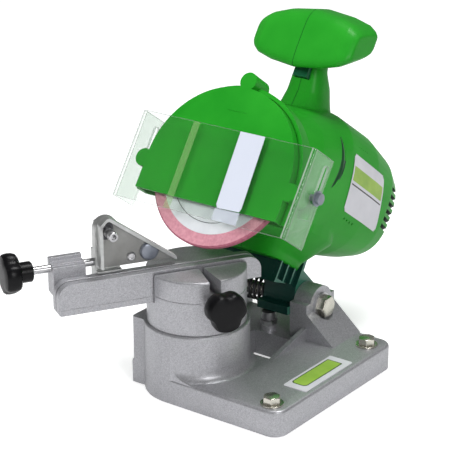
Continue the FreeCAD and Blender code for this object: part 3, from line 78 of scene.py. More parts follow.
# Which coordinates an outline and its depth take, and which ones a turned profile takes about each axis.
OUTLINE_ORDER = {"XY": (0, 1, 2), "XZ": (0, 2, 1), "YZ": (1, 2, 0)}
TURN_ORDER = {"Z": (0, 1, 2), "X": (1, 2, 0), "Y": (2, 0, 1)}


def new_material(name):
    material = bpy.data.materials.new(name)
    material.use_nodes = True
    tree = material.node_tree
    return material, tree, tree.nodes["Principled BSDF"]


def setting(shader, **values):
    for key, value in values.items():
        shader.inputs[key.replace("_", " ")].default_value = value


def object_noise(tree, scale, detail=4.0, rough=0.55):
    place = tree.nodes.new("ShaderNodeTexCoord")
    noise = tree.nodes.new("ShaderNodeTexNoise")
    noise.inputs["Scale"].default_value = scale
    noise.inputs["Detail"].default_value = detail
    noise.inputs["Roughness"].default_value = rough
    tree.links.new(place.outputs["Object"], noise.inputs["Vector"])
    return noise


def ramp(tree, source, stops):
    node = tree.nodes.new("ShaderNodeValToRGB")
    elements = node.color_ramp.elements
    while len(elements) < len(stops):
        elements.new(0.5)
    for element, (spot, colour) in zip(elements, stops):
        element.position = spot
        element.color = (*colour, 1.0)
    tree.links.new(source, node.inputs["Fac"])
    return node


def bump(tree, source, shader, strength, distance):
    node = tree.nodes.new("ShaderNodeBump")
    node.inputs["Strength"].default_value = strength
    node.inputs["Distance"].default_value = distance
    tree.links.new(source, node.inputs["Height"])
    tree.links.new(node.outputs["Normal"], shader.inputs["Normal"])


def spread(tree, source, target, low, high):
    """Link a value to a target after scaling it between two limits."""
    limits = tree.nodes.new("ShaderNodeMapRange")
    limits.inputs["To Min"].default_value = low
    limits.inputs["To Max"].default_value = high
    tree.links.new(source, limits.inputs["Value"])
    tree.links.new(limits.outputs["Result"], target)


def math_node(tree, operation, second, third=0.5):
    node = tree.nodes.new("ShaderNodeMath")
    node.operation = operation
    node.inputs[1].default_value = second
    node.inputs[2].default_value = third
    return node


def see_through(tree, shader, share, tint=(1.0, 1.0, 1.0, 1.0)):
    """Show a look only in part, so that what lies behind it is seen through it."""
    through = tree.nodes.new("ShaderNodeBsdfTransparent")
    through.inputs["Color"].default_value = tint
    mix = tree.nodes.new("ShaderNodeMixShader")
    tree.links.new(share, mix.inputs["Fac"])
    tree.links.new(through.outputs["BSDF"], mix.inputs[1])
    tree.links.new(shader.outputs["BSDF"], mix.inputs[2])
    tree.links.new(mix.outputs["Shader"], tree.nodes["Material Output"].inputs["Surface"])


def mottled(name, low, high, scale, roughness, metallic=0.0, grain=0.0, grain_scale=900.0, rough_swing=0.06,
            **extra):
    """A base colour that varies gently, a roughness that varies with it and a fine surface grain."""
    material, tree, shader = new_material(name)
    noise = object_noise(tree, scale)
    colours = ramp(tree, noise.outputs["Fac"], [(0.32, low), (0.68, high)])
    tree.links.new(colours.outputs["Color"], shader.inputs["Base Color"])
    low_rough, high_rough = max(roughness - rough_swing, 0.02), min(roughness + rough_swing, 1.0)
    spread(tree, noise.outputs["Fac"], shader.inputs["Roughness"], low_rough, high_rough)
    setting(shader, Metallic=metallic, **extra)
    if grain:
        fine = object_noise(tree, grain_scale, 2.0)
        bump(tree, fine.outputs["Fac"], shader, grain, GRAIN_HEIGHT)
    return material


def cast_paint():
    """Silver paint over a casting: fine pale flakes, soft sheen and a fine orange-peel surface."""
    material, tree, shader = new_material("cast_paint_look")
    flakes = tree.nodes.new("ShaderNodeTexVoronoi")
    flakes.inputs["Scale"].default_value = 2300.0
    place = tree.nodes.new("ShaderNodeTexCoord")
    tree.links.new(place.outputs["Object"], flakes.inputs["Vector"])
    tint = ramp(tree, flakes.outputs["Color"], [(0.15, (0.34, 0.34, 0.36)), (0.85, (0.50, 0.50, 0.525))])
    tree.links.new(tint.outputs["Color"], shader.inputs["Base Color"])
    cloud = object_noise(tree, 60.0)
    spread(tree, cloud.outputs["Fac"], shader.inputs["Roughness"], 0.36, 0.46)
    fine = object_noise(tree, 1100.0, 2.0)
    bump(tree, fine.outputs["Fac"], shader, 0.25, GRAIN_HEIGHT)
    setting(shader, Metallic=0.65, Coat_Weight=0.15, Coat_Roughness=0.25)
    return material


def clear_plastic():
    """Thin clear sheet: mostly see-through, with a faint green-grey body and bright reflections."""
    material, tree, shader = new_material("clear_sheet_look")
    setting(shader, Base_Color=(0.90, 0.97, 0.92, 1.0), Roughness=0.06, Metallic=1.0)
    weight = tree.nodes.new("ShaderNodeLayerWeight")
    weight.inputs["Blend"].default_value = 0.16
    haze = object_noise(tree, 40.0)
    soft = math_node(tree, "MULTIPLY_ADD", 0.03)
    tree.links.new(haze.outputs["Fac"], soft.inputs[0])
    spread(tree, weight.outputs["Facing"], soft.inputs[2], 0.01, 0.55)
    see_through(tree, shader, soft.outputs["Value"], (0.965, 0.985, 0.97, 1.0))
    return material


def painted_highlight_sheet(name, colour, share, swing):
    """A flat band of painted highlight that covers part of what lies behind it, a little unevenly; it paints
    the bright edges and reflections of the clear sheet.
    """
    material, tree, shader = new_material(name)
    setting(shader, Base_Color=(*colour, 1.0), Roughness=0.25)
    noise = object_noise(tree, 30.0)
    cover = math_node(tree, "MULTIPLY_ADD", swing, share - swing / 2)
    tree.links.new(noise.outputs["Fac"], cover.inputs[0])
    see_through(tree, shader, cover.outputs["Value"])
    return material


def seamed_plastic():
    """Glossy green shell with a thin dark line where its two halves meet."""
    seam_half = 0.00022
    material = mottled("green_housing_look", *GREEN_PLASTIC, Specular_IOR_Level=GREEN_SPECULAR)
    tree = material.node_tree
    shader = tree.nodes["Principled BSDF"]
    colour = shader.inputs["Base Color"].links[0].from_socket
    place = tree.nodes.new("ShaderNodeTexCoord")
    split = tree.nodes.new("ShaderNodeSeparateXYZ")
    gap = math_node(tree, "COMPARE", MIDDLE_PLANE, seam_half)
    seam = tree.nodes.new("ShaderNodeMix")
    seam.data_type = "RGBA"
    seam.inputs[7].default_value = (0.004, 0.07, 0.01, 1.0)
    tree.links.new(place.outputs["Object"], split.inputs["Vector"])
    tree.links.new(split.outputs["X"], gap.inputs[0])
    tree.links.new(gap.outputs["Value"], seam.inputs[0])
    tree.links.new(colour, seam.inputs[6])
    tree.links.new(seam.outputs[2], shader.inputs["Base Color"])
    return material


# A mottled look's low and high colour, mottle scale, roughness, metal share, grain, its scale and the swing.
GREEN_PLASTIC = ((0.012, 0.265, 0.014), (0.024, 0.345, 0.022), 18.0, 0.36, 0.0, 0.06, 700.0, 0.04)
DARK_GREEN = ((0.002, 0.026, 0.020), (0.004, 0.046, 0.034), 25.0, 0.36, 0.0, 0.08, 700.0, 0.05)
BLACK_PLASTIC = ((0.0025, 0.0025, 0.003), (0.005, 0.005, 0.006), 60.0, 0.34, 0.0, 0.18, 1300.0, 0.06)
GREEN_SPECULAR, DARK_GREEN_SPECULAR, BLACK_SPECULAR = 0.16, 0.35, 0.18
MOTTLED = {
    # The trigger's dark green is painted shade: it matches the shade just under the grip.
    "trigger_shade_green": ((0.004, 0.07, 0.03), (0.008, 0.10, 0.045), 25.0, 0.36, 0.0, 0.08),
    # Painted shade inside the crescent groove.
    "groove_shade_green": ((0.002, 0.05, 0.012), (0.004, 0.075, 0.018), 25.0, 0.4, 0.0, 0.08),
    # Painted highlight: a paler teal for the outer faces of the foot's ribs.
    "rib_highlight_green": ((0.02, 0.12, 0.08), (0.04, 0.18, 0.12), 40.0, 0.36, 0.0, 0.08),
    "abrasive": ((0.60, 0.25, 0.31), (0.74, 0.36, 0.43), 500.0, 0.93, 0.0, 0.7, 1300.0),
    "abrasive_rim": ((0.36, 0.10, 0.15), (0.48, 0.16, 0.22), 500.0, 0.95, 0.0, 0.8, 1300.0),
    "paper": ((0.70, 0.72, 0.76), (0.80, 0.82, 0.85), 90.0, 0.75, 0.0, 0.15, 1800.0),
    "steel": ((0.48, 0.48, 0.49), (0.64, 0.64, 0.65), 130.0, 0.30, 0.95, 0.08, 1500.0),
    "zinc_steel": ((0.56, 0.54, 0.47), (0.72, 0.70, 0.62), 110.0, 0.26, 0.95, 0.08, 1500.0),
    "pale_steel": ((0.44, 0.45, 0.44), (0.60, 0.61, 0.60), 120.0, 0.33, 0.85, 0.10, 1500.0),
    "blue_steel": ((0.20, 0.22, 0.26), (0.30, 0.32, 0.37), 120.0, 0.36, 0.6, 0.12, 1500.0),
    "grey_steel": ((0.22, 0.22, 0.21), (0.32, 0.32, 0.31), 60.0, 0.42, 0.7, 0.12, 1500.0),
    "dark_steel": ((0.05, 0.05, 0.055), (0.10, 0.10, 0.105), 150.0, 0.40, 0.8, 0.1, 1200.0),
    "alloy": ((0.52, 0.52, 0.52), (0.68, 0.68, 0.67), 140.0, 0.34, 0.85, 0.12, 1400.0),
    "copper": ((0.50, 0.22, 0.10), (0.66, 0.32, 0.16), 100.0, 0.32, 0.95, 0.08),
    "magnet": ((0.03, 0.03, 0.03), (0.06, 0.06, 0.06), 100.0, 0.7, 0.1, 0.2),
    "label": ((0.60, 0.60, 0.64), (0.68, 0.68, 0.72), 50.0, 0.35, 0.1, 0.04),
    "label_green": ((0.24, 0.42, 0.05), (0.34, 0.52, 0.08), 70.0, 0.38, 0.0, 0.04),
    "label_edge": ((0.05, 0.09, 0.03), (0.08, 0.12, 0.05), 70.0, 0.4, 0.0, 0.04),
    "label_dark": ((0.03, 0.03, 0.032), (0.05, 0.05, 0.055), 70.0, 0.4, 0.0, 0.04),
    # Painted shade on the walls and floors of the vent slots.
    "slot_shade": ((0.010, 0.035, 0.016), (0.016, 0.05, 0.022), 70.0, 0.6, 0.0, 0.04),
}
# Painted highlights and reflections on the clear sheet: colour, share that they cover and how much that share
# swings.
PAINTED_HIGHLIGHTS = {
    "clear_edge_highlight": ((0.52, 0.58, 0.53), 0.62, 0.2),
    "clear_fold_highlight": ((0.50, 0.56, 0.50), 0.26, 0.2),
    "white_reflection": ((0.66, 0.70, 0.80), 0.94, 0.08),
    "fading_reflection": ((0.66, 0.70, 0.80), 0.42, 0.12),
    "faint_reflection": ((0.30, 0.50, 0.20), 0.24, 0.10),
}


LOOKS = {
    "cast_paint": cast_paint(),
    "clear_plastic": clear_plastic(),
    "green_housing": seamed_plastic(),
    "green_plastic": mottled("green_plastic_look", *GREEN_PLASTIC, Specular_IOR_Level=GREEN_SPECULAR),
    "dark_green": mottled("dark_green_look", *DARK_GREEN, Specular_IOR_Level=DARK_GREEN_SPECULAR),
    "black_plastic": mottled("black_plastic_look", *BLACK_PLASTIC, Specular_IOR_Level=BLACK_SPECULAR),
}
LOOKS.update({name: mottled(f"{name}_look", *values) for name, values in MOTTLED.items()})
LOOKS.update({name: painted_highlight_sheet(f"{name}_look", *values) for name, values in PAINTED_HIGHLIGHTS.items()})


def faces_in(obj, axes):
    """Each face of a piece, with its middle in millimetres and its direction, both in a set of axes."""
    turn = axes.to_3x3().inverted()
    for face in obj.data.polygons:
        yield face, turn @ (face.center - axes.translation * MM) / MM, turn @ face.normal


def add_looks(obj, *names):
    for name in names:
        obj.data.materials.append(LOOKS[name])


def paint(obj, look):
    obj.data.materials.clear()
    obj.data.materials.append(LOOKS[look])


def settle(name, mesh, axes, look, body, replaces=(), edge=0.0, steps=3, angle=32.0):
    """Turn a bmesh in millimetres into a shown piece in the row frame, with rounded edges."""
    bmesh.ops.recalc_face_normals(mesh, faces=mesh.faces)
    data = bpy.data.meshes.new(name)
    mesh.to_mesh(data)
    mesh.free()
    data.transform(SCALE @ axes)
    data.update()
    obj = bpy.data.objects.new(name, data)
    bpy.context.scene.collection.objects.link(obj)
    paint(obj, look)
    soften(obj, edge, steps, angle)
    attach(obj, body)
    if replaces:
        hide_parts(*replaces)
    return obj


def soften(obj, edge, steps=3, angle=32.0):
    for face in obj.data.polygons:
        face.use_smooth = True
    if edge:
        rounding = obj.modifiers.new("edges", "BEVEL")
        rounding.width = edge * MM
        rounding.segments = steps
        rounding.limit_method = "ANGLE"
        rounding.angle_limit = math.radians(angle)
        rounding.harden_normals = True
        rounding.use_clamp_overlap = True
        rounding.miter_outer = "MITER_ARC"
    else:
        obj.data.set_sharp_from_angle(angle=math.radians(angle))


def prism(mesh, outline, low, high, axes="XY"):
    """Add a straight prism over an outline of two coordinates, between two depths on the third."""
    first, second, third = OUTLINE_ORDER[axes]
    rings = []
    for depth in (low, high):
        ring = []
        for across, up in outline:
            spot = [0.0, 0.0, 0.0]
            spot[first], spot[second], spot[third] = across, up, depth
            ring.append(mesh.verts.new(spot))
        rings.append(ring)
    count = len(outline)
    mesh.faces.new(rings[0][::-1])
    mesh.faces.new(rings[1])
    for i in range(count):
        j = (i + 1) % count
        mesh.faces.new((rings[0][i], rings[0][j], rings[1][j], rings[1][i]))


def round_corner(points, steps=8):
    """Replace each (x, y, r) corner of an outline by an arc of radius r."""
    out = []
    count = len(points)
    for i, point in enumerate(points):
        here = Vector(point[:2])
        radius = point[2] if len(point) > 2 else 0.0
        if not radius:
            out.append(tuple(here))
            continue
        a = (Vector(points[i - 1][:2]) - here).normalized()
        b = (Vector(points[(i + 1) % count][:2]) - here).normalized()
        half = a.angle(b) / 2
        reach = radius / math.tan(half)
        centre = here + (a + b).normalized() * (radius / math.sin(half))
        start, end = here + a * reach - centre, here + b * reach - centre
        first = math.atan2(start.y, start.x)
        swing = math.atan2(start.x * end.y - start.y * end.x, start.dot(end))
        for step in range(steps + 1):
            turn = first + swing * step / steps
            out.append((centre.x + radius * math.cos(turn), centre.y + radius * math.sin(turn)))
    return out


def arc(radius, first, last, steps, spot=(0, 0)):
    """Points along an arc, its angles in radians from the first coordinate towards the second."""
    angles = [first + (last - first) * step / steps for step in range(steps + 1)]
    return [(spot[0] + radius * math.cos(angle), spot[1] + radius * math.sin(angle)) for angle in angles]


def lathe(mesh, profile, axis="Z", spot=(0, 0, 0), steps=64):
    """Turn a profile of (radius, distance along) about an axis; it closes on the axis where a radius is 0."""
    turn_to = TURN_ORDER[axis]
    rings = []
    for radius, along in profile:
        if radius < 1e-6:
            place = [0.0, 0.0, 0.0]
            place[turn_to[2]] = along
            rings.append([mesh.verts.new(Vector(place) + Vector(spot))])
            continue
        ring = []
        for step in range(steps):
            angle = CIRCLE * step / steps
            place = [0.0, 0.0, 0.0]
            place[turn_to[0]] = radius * math.cos(angle)
            place[turn_to[1]] = radius * math.sin(angle)
            place[turn_to[2]] = along
            ring.append(mesh.verts.new(Vector(place) + Vector(spot)))
        rings.append(ring)
    closed = profile[0][0] > 1e-6 and profile[-1][0] > 1e-6
    pairs = list(zip(rings, rings[1:])) + ([(rings[-1], rings[0])] if closed else [])
    for first, second in pairs:
        for step in range(steps):
            after = (step + 1) % steps
            if len(first) == 1 and len(second) == 1:
                continue
            if len(first) == 1:
                mesh.faces.new((first[0], second[step], second[after]))
            elif len(second) == 1:
                mesh.faces.new((first[step], second[0], first[after]))
            else:
                mesh.faces.new((first[step], second[step], second[after], first[after]))


def loft(mesh, rings):
    """Skin closed rings of points, with flat caps."""
    made = [[mesh.verts.new(p) for p in ring] for ring in rings]
    count = len(made[0])
    for first, second in zip(made, made[1:]):
        for i in range(count):
            j = (i + 1) % count
            mesh.faces.new((first[i], first[j], second[j], second[i]))
    mesh.faces.new(made[0][::-1])
    mesh.faces.new(made[-1])


def section(centre, across, up, power=2.8, count=48, taper=0.0):
    """A rounded box given by its centre and its two half sizes as vectors."""
    points = []
    for step in range(count):
        angle = CIRCLE * step / count
        c, s = math.cos(angle), math.sin(angle)
        side = math.copysign(abs(c) ** (2 / power), c)
        rise = math.copysign(abs(s) ** (2 / power), s)
        points.append(Vector(centre) + Vector(across) * side + Vector(up) * rise * (1 - taper * side))
    return points


def helper(mesh):
    """A temporary object in millimetres for booleans."""
    bmesh.ops.recalc_face_normals(mesh, faces=mesh.faces)
    data = bpy.data.meshes.new("helper")
    mesh.to_mesh(data)
    mesh.free()
    obj = bpy.data.objects.new("helper", data)
    bpy.context.scene.collection.objects.link(obj)
    return obj


def helper_mesh(obj):
    mesh = bmesh.new()
    mesh.from_mesh(obj.data)
    bpy.data.objects.remove(obj, do_unlink=True)
    return mesh


def combined(first, others):
    """Add or cut helper solids one after the other and give back one bmesh; all the helpers are removed."""
    for kind, other in others:
        cut = first.modifiers.new("cut", "BOOLEAN")
        cut.operation = {"+": "UNION", "-": "DIFFERENCE", "&": "INTERSECT"}[kind]
        cut.solver = "EXACT"
        cut.object = other
    shape = bpy.data.meshes.new_from_object(first.evaluated_get(bpy.context.evaluated_depsgraph_get()))
    mesh = bmesh.new()
    mesh.from_mesh(shape)
    bpy.data.meshes.remove(shape)
    for obj in [first] + [other for _, other in others]:
        bpy.data.objects.remove(obj, do_unlink=True)
    bmesh.ops.remove_doubles(mesh, verts=mesh.verts, dist=0.001)
    bmesh.ops.dissolve_limit(mesh, angle_limit=math.radians(0.5), verts=mesh.verts, edges=mesh.edges)
    return mesh


def solid(*parts):
    """A helper from one drawing call: parts are (function, arguments) pairs on one mesh."""
    mesh = bmesh.new()
    for draw, *details in parts:
        draw(mesh, *details)
    return helper(mesh)


def bar(outline, low, high, axes="XY"):
    return solid((prism, outline, low, high, axes))


def round_bar(profile, axis="Z", spot=(0, 0, 0), steps=64):
    return solid((lathe, profile, axis, spot, steps))


def cylinder(radius, low, high, axis="Z", spot=(0, 0, 0), steps=64):
    return round_bar([(0, low), (radius, low), (radius, high), (0, high)], axis, spot, steps)


def box(low, high):
    left, front, under = low
    right, back, top = high
    return bar([(left, front), (right, front), (right, back), (left, back)], under, top)


def shaped_edges(obj, width, steps=4, angle=32.0, axis=None, above=None):
    """Round a helper's edges for good; with an axis, only the edges whose ends both lie above a depth."""
    mesh = bmesh.new()
    mesh.from_mesh(obj.data)
    sharp = math.radians(angle)
    edges = [edge for edge in mesh.edges if len(edge.link_faces) == 2 and edge.calc_face_angle(0) > sharp]
    if axis is not None:
        edges = [edge for edge in edges if all(vert.co[axis] > above for vert in edge.verts)]
    bmesh.ops.bevel(mesh, geom=edges, offset=width, segments=steps, profile=0.5, affect="EDGES",
                    clamp_overlap=True)
    mesh.to_mesh(obj.data)
    mesh.free()
    return obj


def base_casting():
    """The cast plate with its drum, angle scale block, ears, buttress, rib and chain well."""
    front = -DRUM_RADIUS
    block_front, block_back, block_right = -22, 18, -12
    wall, deck_under, drum_under = 4, 12.9, 41.2
    inner_ear, far_ear = 26.8, -27
    well_right, well_left, well_front, well_back = 36.8, 2.2, 28.1, 60
    outline = round_corner([(0, front, 4), (PLATE_RIGHT, front, 9), (PLATE_RIGHT, PLATE_BACK, 9),
                            (PLATE_LEFT, PLATE_BACK, 9), (PLATE_LEFT, block_front), (0, block_front)])
    plate = shaped_edges(bar(outline, 0, PLATE_TOP), 2.0, 4, 40, axis=2, above=PLATE_TOP - 0.1)
    drum = cylinder(DRUM_RADIUS, 0, DRUM_TOP, steps=128)
    drum = shaped_edges(drum, 1.3, 4, 40, axis=2, above=DRUM_TOP - 0.2)
    fillet = [(33, 10), (39.5, 16.6), (37.4, 17.2), (35.6, 18.6), (34.5, 20.6), (DRUM_RADIUS, 23.5),
              (33, 23.5)]
    deck = [(0.5, -33.5), (60, -33.5), (60, 60), (-35.5, 60), (-35.5, block_back), (block_right, block_back),
            (0.5, 0)]
    root = combined(round_bar(fillet, steps=128), [("&", bar(deck, 9, 30))])
    block = [(PLATE_LEFT, block_front, 2.5), (block_right, block_front), (block_right, block_back),
             (PLATE_LEFT, block_back, 2.5)]
    buttress = [(39, 12), (61.2, 12), (61.2, PLATE_TOP), (EAR_OUTER, 35.5), (39, 35.5)]
    adds = [
        ("+", drum),
        ("+", helper(root)),
        ("+", bar(round_corner(block, 5), 0, 46.2)),
        ("+", box((inner_ear, EAR_FRONT, 10), (EAR_OUTER, PLATE_BACK, EAR_TOP))),
        ("+", box((PLATE_LEFT, EAR_FRONT, 10), (far_ear, PLATE_BACK, EAR_TOP))),
        ("+", cylinder(BOSS_RADIUS, inner_ear, EAR_OUTER, "X", HINGE)),
        ("+", cylinder(BOSS_RADIUS, PLATE_LEFT, far_ear, "X", HINGE)),
        ("+", bar(buttress, EAR_FRONT, PLATE_BACK, "XZ")),
        ("+", bar([(28.1, 12), (66, 12), (66, 26), (28.1, PLATE_TOP)], well_right, EAR_OUTER, "YZ")),
    ]
    hollow = [(0, front + wall), (PLATE_RIGHT - wall, front + wall), (PLATE_RIGHT - wall, PLATE_BACK - wall),
              (PLATE_LEFT + wall, PLATE_BACK - wall), (PLATE_LEFT + wall, block_front + wall),
              (0, block_front + wall)]
    cuts = [
        ("-", bar(hollow, -1, deck_under)),
        ("-", cylinder(DRUM_RADIUS - wall, -1, drum_under)),
    ]
    well_wall = [(40.8, 16), (40.8, 64), (-1.8, 64), (-1.8, 33), (16, 27.7), (27.7, 16)]
    well = [(well_right, well_front), (well_right, well_back), (well_left, well_back), (well_left, 36.5),
            (6.5, 36.0), (11, 34.9), (15.6, 33.1), (20, 30.7), (23.4, well_front)]
    inner = [
        ("+", cylinder(16, 29.2, 41.5)),
        ("+", bar(well_wall, 0, 15)),
        ("-", bar(well, -1, 30)),
        ("-", cylinder(10.05, 20, 60)),
        ("-", cylinder(8.8, 40, 70, "X", HINGE)),
        ("-", cylinder(HINGE_RADIUS + 0.05, -60, 60, "X", HINGE)),
    ]
    inner += [("-", cylinder(3.3, -1, 20, "Z", (BENCH_BOLT_RIGHT, y, 0), 32)) for y in BENCH_BOLT_PLACES]
    inner += [
        ("+", cylinder(5.5, 12, 21, "Z", DEPTH_STOP, 32)),
        ("-", cylinder(3.05, 3.7, 22, "Z", DEPTH_STOP, 32)),
    ]
    mesh = combined(plate, adds + cuts + inner)
    settle("base_skin", mesh, BASE, "cast_paint", "base", ["base_casting"], edge=0.9)


def knob(name, axes, axis, spot, radius, start, end, body, node, hub):
    """A black hand knob: three wide lobes, a slightly domed face away from its screw, and a short hub."""
    lobes, steps, notch_depth = 3, 96, 0.17
    profile = [(0.42, 0.0), (0.80, 0.05), (0.93, 0.15), (0.985, 0.32), (1.0, 0.5), (1.0, 0.66), (0.975, 0.82),
               (0.90, 0.93), (0.76, 0.985), (0.40, 1.0)]
    mesh = bmesh.new()
    rings = []
    way = 1 if end > start else -1
    height = abs(end - start)
    first, second, depth = TURN_ORDER[axis]
    for share, along in profile:
        ring = []
        for step in range(steps):
            angle = CIRCLE * step / steps
            wave = 0.5 + 0.5 * math.cos(lobes * angle)
            notch = 1 - notch_depth * (wave ** 4) * min(1.0, share * 1.05)
            place = [0.0, 0.0, 0.0]
            place[first] = radius * share * notch * math.cos(angle)
            place[second] = radius * share * notch * math.sin(angle)
            place[depth] = start + way * height * along
            ring.append(Vector(place) + Vector(spot))
        rings.append(ring)
    loft(mesh, rings)
    hub_radius, hub_end, bore = hub
    lip = hub_radius - 0.9
    lathe(mesh, [(bore, start + way), (hub_radius, start + way), (hub_radius, hub_end + way * 0.8),
                 (lip, hub_end), (bore, hub_end)], axis, spot, 48)
    settle(name, mesh, axes, "black_plastic", body, [node])


def vise_turret():
    """The turning block with its band, the slot of the jaws, the notch of the clamp screw and its spigot."""
    block = shaped_edges(cylinder(TURRET_RADIUS, TURRET_BOTTOM, TURRET_TOP, steps=160), 1.2, 4, 40, axis=2,
                         above=TURRET_TOP - 0.2)
    band = [(20, 68.7), (TURRET_RADIUS, 68.7), (32.35, 69.0), (32.35, 69.3), (TURRET_RADIUS, 69.6),
            (20, 69.6)]
    notch = [(-4.5, -40), (4.6, -40), (1.9, -7.0), (-1.4, -7.0)]
    mesh = combined(block, [
        ("+", round_bar(band, steps=160)),
        ("-", box((-40, -7.5, 64.3), (40, 6.0, 90))),
        ("-", bar(notch, 63, 90)),
        ("-", cylinder(3.05, -40, -5, "Y", CLAMP, 32)),
        ("-", cylinder(PIN_HOLE, 5, 19, "Y", (-12, 0, JAW_PIN_HEIGHT), 24)),
        ("-", cylinder(PIN_HOLE, 5, 19, "Y", (12, 0, JAW_PIN_HEIGHT), 24)),
        ("+", cylinder(10, 31, 47.6)),
    ])
    settle("turret_skin", mesh, VISE, "cast_paint", "vise", ["vise_turret"], edge=0.6)


def hexagon(flats):
    reach = flats / math.sqrt(3)
    turns = [math.radians(60 * k) for k in range(6)]
    return [(reach * math.cos(turn), reach * math.sin(turn)) for turn in turns]


def hex_piece(name, axes, axis, spot, flats, start, end, look, body, nodes=(), extra=()):
    """A hexagon head with chamfered corners on the side of its end."""
    order = {"X": "YZ", "Y": "XZ", "Z": "XY"}[axis]
    place = {"X": (spot[1], spot[2]), "Y": (spot[0], spot[2]), "Z": (spot[0], spot[1])}[axis]
    outline = [(x + place[0], y + place[1]) for x, y in hexagon(flats)]
    body_bar = bar(outline, min(start, end), max(start, end), order)
    reach = flats / math.sqrt(3) * 1.02
    slope = reach - flats * 0.49
    way = 1 if end > start else -1
    chamfer = [(0, start - way), (reach, start - way), (reach, end - way * slope * 0.55), (flats * 0.47, end),
               (0, end)]
    steps = [("&", round_bar(chamfer, axis, spot, 48))] + list(extra)
    return settle(name, combined(body_bar, steps), axes, look, body, nodes, edge=0.25, steps=2, angle=28)


def jaws():
    """The clamped front jaw with its groove, and the fixed back jaw."""
    left, right, bottom, relief = -92.9, 41.9, 64.6, 70.0
    inner, outer = 0.9, 6.0
    outline = round_corner([(28, bottom), (28, relief), (right, relief), (right, JAW_TOP, 9),
                            (left, JAW_TOP, 9), (left, bottom, 2)], 10)
    groove_outline = [(-93.5, 68.4), (-33, 68.4), (-33, 69.0), (-93.5, 69.0)]
    cuts = [("-", bar(groove_outline, -7, -5.75, "XZ")), ("-", cylinder(2.45, -7, -3, "Y", CLAMP, 32))]
    cuts += [("-", cylinder(PIN_HOLE, -7, 0, "Y", (x, 0, JAW_PIN_HEIGHT), 24)) for x in (-22, 22)]
    front = combined(bar(outline, -outer, -inner, "XZ"), cuts)
    settle("front_jaw_skin", front, VISE, "cast_paint", "clamp_jaw", ["front_jaw"], edge=0.55)
    back = combined(bar(outline, inner, outer, "XZ"), [])
    settle("back_jaw_skin", back, VISE, "cast_paint", "vise", ["back_jaw"], edge=0.55)


def chain_stop():
    """The nut block, the bracket and the swinging pawl with its screws."""
    nut_block()
    stop_bracket()
    pawl()
    pawl_fixings()


def nut_block():
    block = bar(round_corner([(6.0, 73), (18, 73), (18, 96), (6.0, 96)]), -92, -71, "YZ")
    mesh = combined(block, [
        ("-", box((-93, 9.5, 93.4), (-70, 14.5, 97))),
        ("-", box((-93, 5, 92.2), (-70, 9.5, 97))),
        ("-", cylinder(ROD_HOLE, -93, -70, "X", ROD, 32)),
    ])
    settle("nut_block_skin", mesh, VISE, "cast_paint", "vise", ["stop_nut_block"], edge=0.7)


def stop_bracket():
    left, right, front, back = -64.5, -48.5, 6.4, 15.4
    pivot_height = PAWL_PIVOT[2]
    arm = bar([(left, 74), (right, 74), (right, pivot_height), (left, pivot_height)], front, back, "XZ")
    mesh = combined(arm, [
        ("+", cylinder(8, front, back, "Y", ((left + right) / 2, 0, pivot_height), 48)),
        ("+", box((left, 1.8, 85.3), (right, 6.9, 86.9))),
        ("-", box((-70, 12.4, 99), (-40, 16, 125))),
        ("-", cylinder(ROD_HOLE, -65, -55.7, "X", ROD, 32)),
        ("-", cylinder(ROD_HOLE, front - 0.5, back + 0.5, "Y", PAWL_PIVOT, 32)),
    ])
    settle("bracket_skin", mesh, VISE, "pale_steel", "stop_carriage", ["stop_bracket"],
           edge=0.7)


def pawl():
    """The folded pawl: a plate with two flanges, a pressed bump and a flat dark oval of painted shade round
    its pivot.
    """
    plate_front, bump_look_radius = 4.1, 6.4
    outer = [(-63, 88.5, 1.5), (-13, 88.5), (-13, 90.5), (-57.5, 122.9, 3), (-63, 117.4, 3)]
    tray = [(-61, 88), (-13, 88), (-13, 88.1), (-57.5, 120.5, 2), (-61, 116.65, 2)]
    bump_profile = [(0, 4.6), (6.2, 4.6), (6.2, 3.2), (5.4, 2.0), (3.8, 1.3), (0, 1.1)]
    mesh = combined(bar(round_corner(outer, 5), 0.1, 6.1, "XZ"), [
        ("-", bar(round_corner(tray, 5), -1, plate_front, "XZ")),
        ("+", round_bar(bump_profile, "Y", PAWL_BUMP, 48)),
        ("-", cylinder(ROD_HOLE, 3, 7, "Y", PAWL_PIVOT, 32)),
        ("-", cylinder(1.55, 3, 7, "Y", PAWL_SCREW, 32)),
    ])
    obj = settle("pawl_skin", mesh, VISE, "pale_steel", "pawl", ["stop_pawl"], edge=0.4)
    add_looks(obj, "blue_steel", "grey_steel")
    for face, place, _ in faces_in(obj, VISE):
        if place.y < 4.0 and math.hypot(place.x - PAWL_BUMP[0], place.z - PAWL_BUMP[2]) < bump_look_radius:
            face.material_index = 1
        elif 3.9 < place.y < 4.3:
            face.material_index = 2
    # Painted shade: a flat dark oval on the plate's face round the pivot bolt, set a little to its upper
    # left.
    centre, half_width, half_height = (-58.0, 113.4), 5.0, 6.4
    oval = [(centre[0] + half_width * math.cos(a), centre[1] + half_height * math.sin(a))
            for a in (math.pi * k / 24 for k in range(48))]
    ring = combined(bar(oval, 3.92, 4.14, "XZ"), [("-", cylinder(ROD_HOLE, 3, 5, "Y", PAWL_PIVOT, 32))])
    settle("pawl_pivot_shade", ring, VISE, "dark_steel", "pawl")


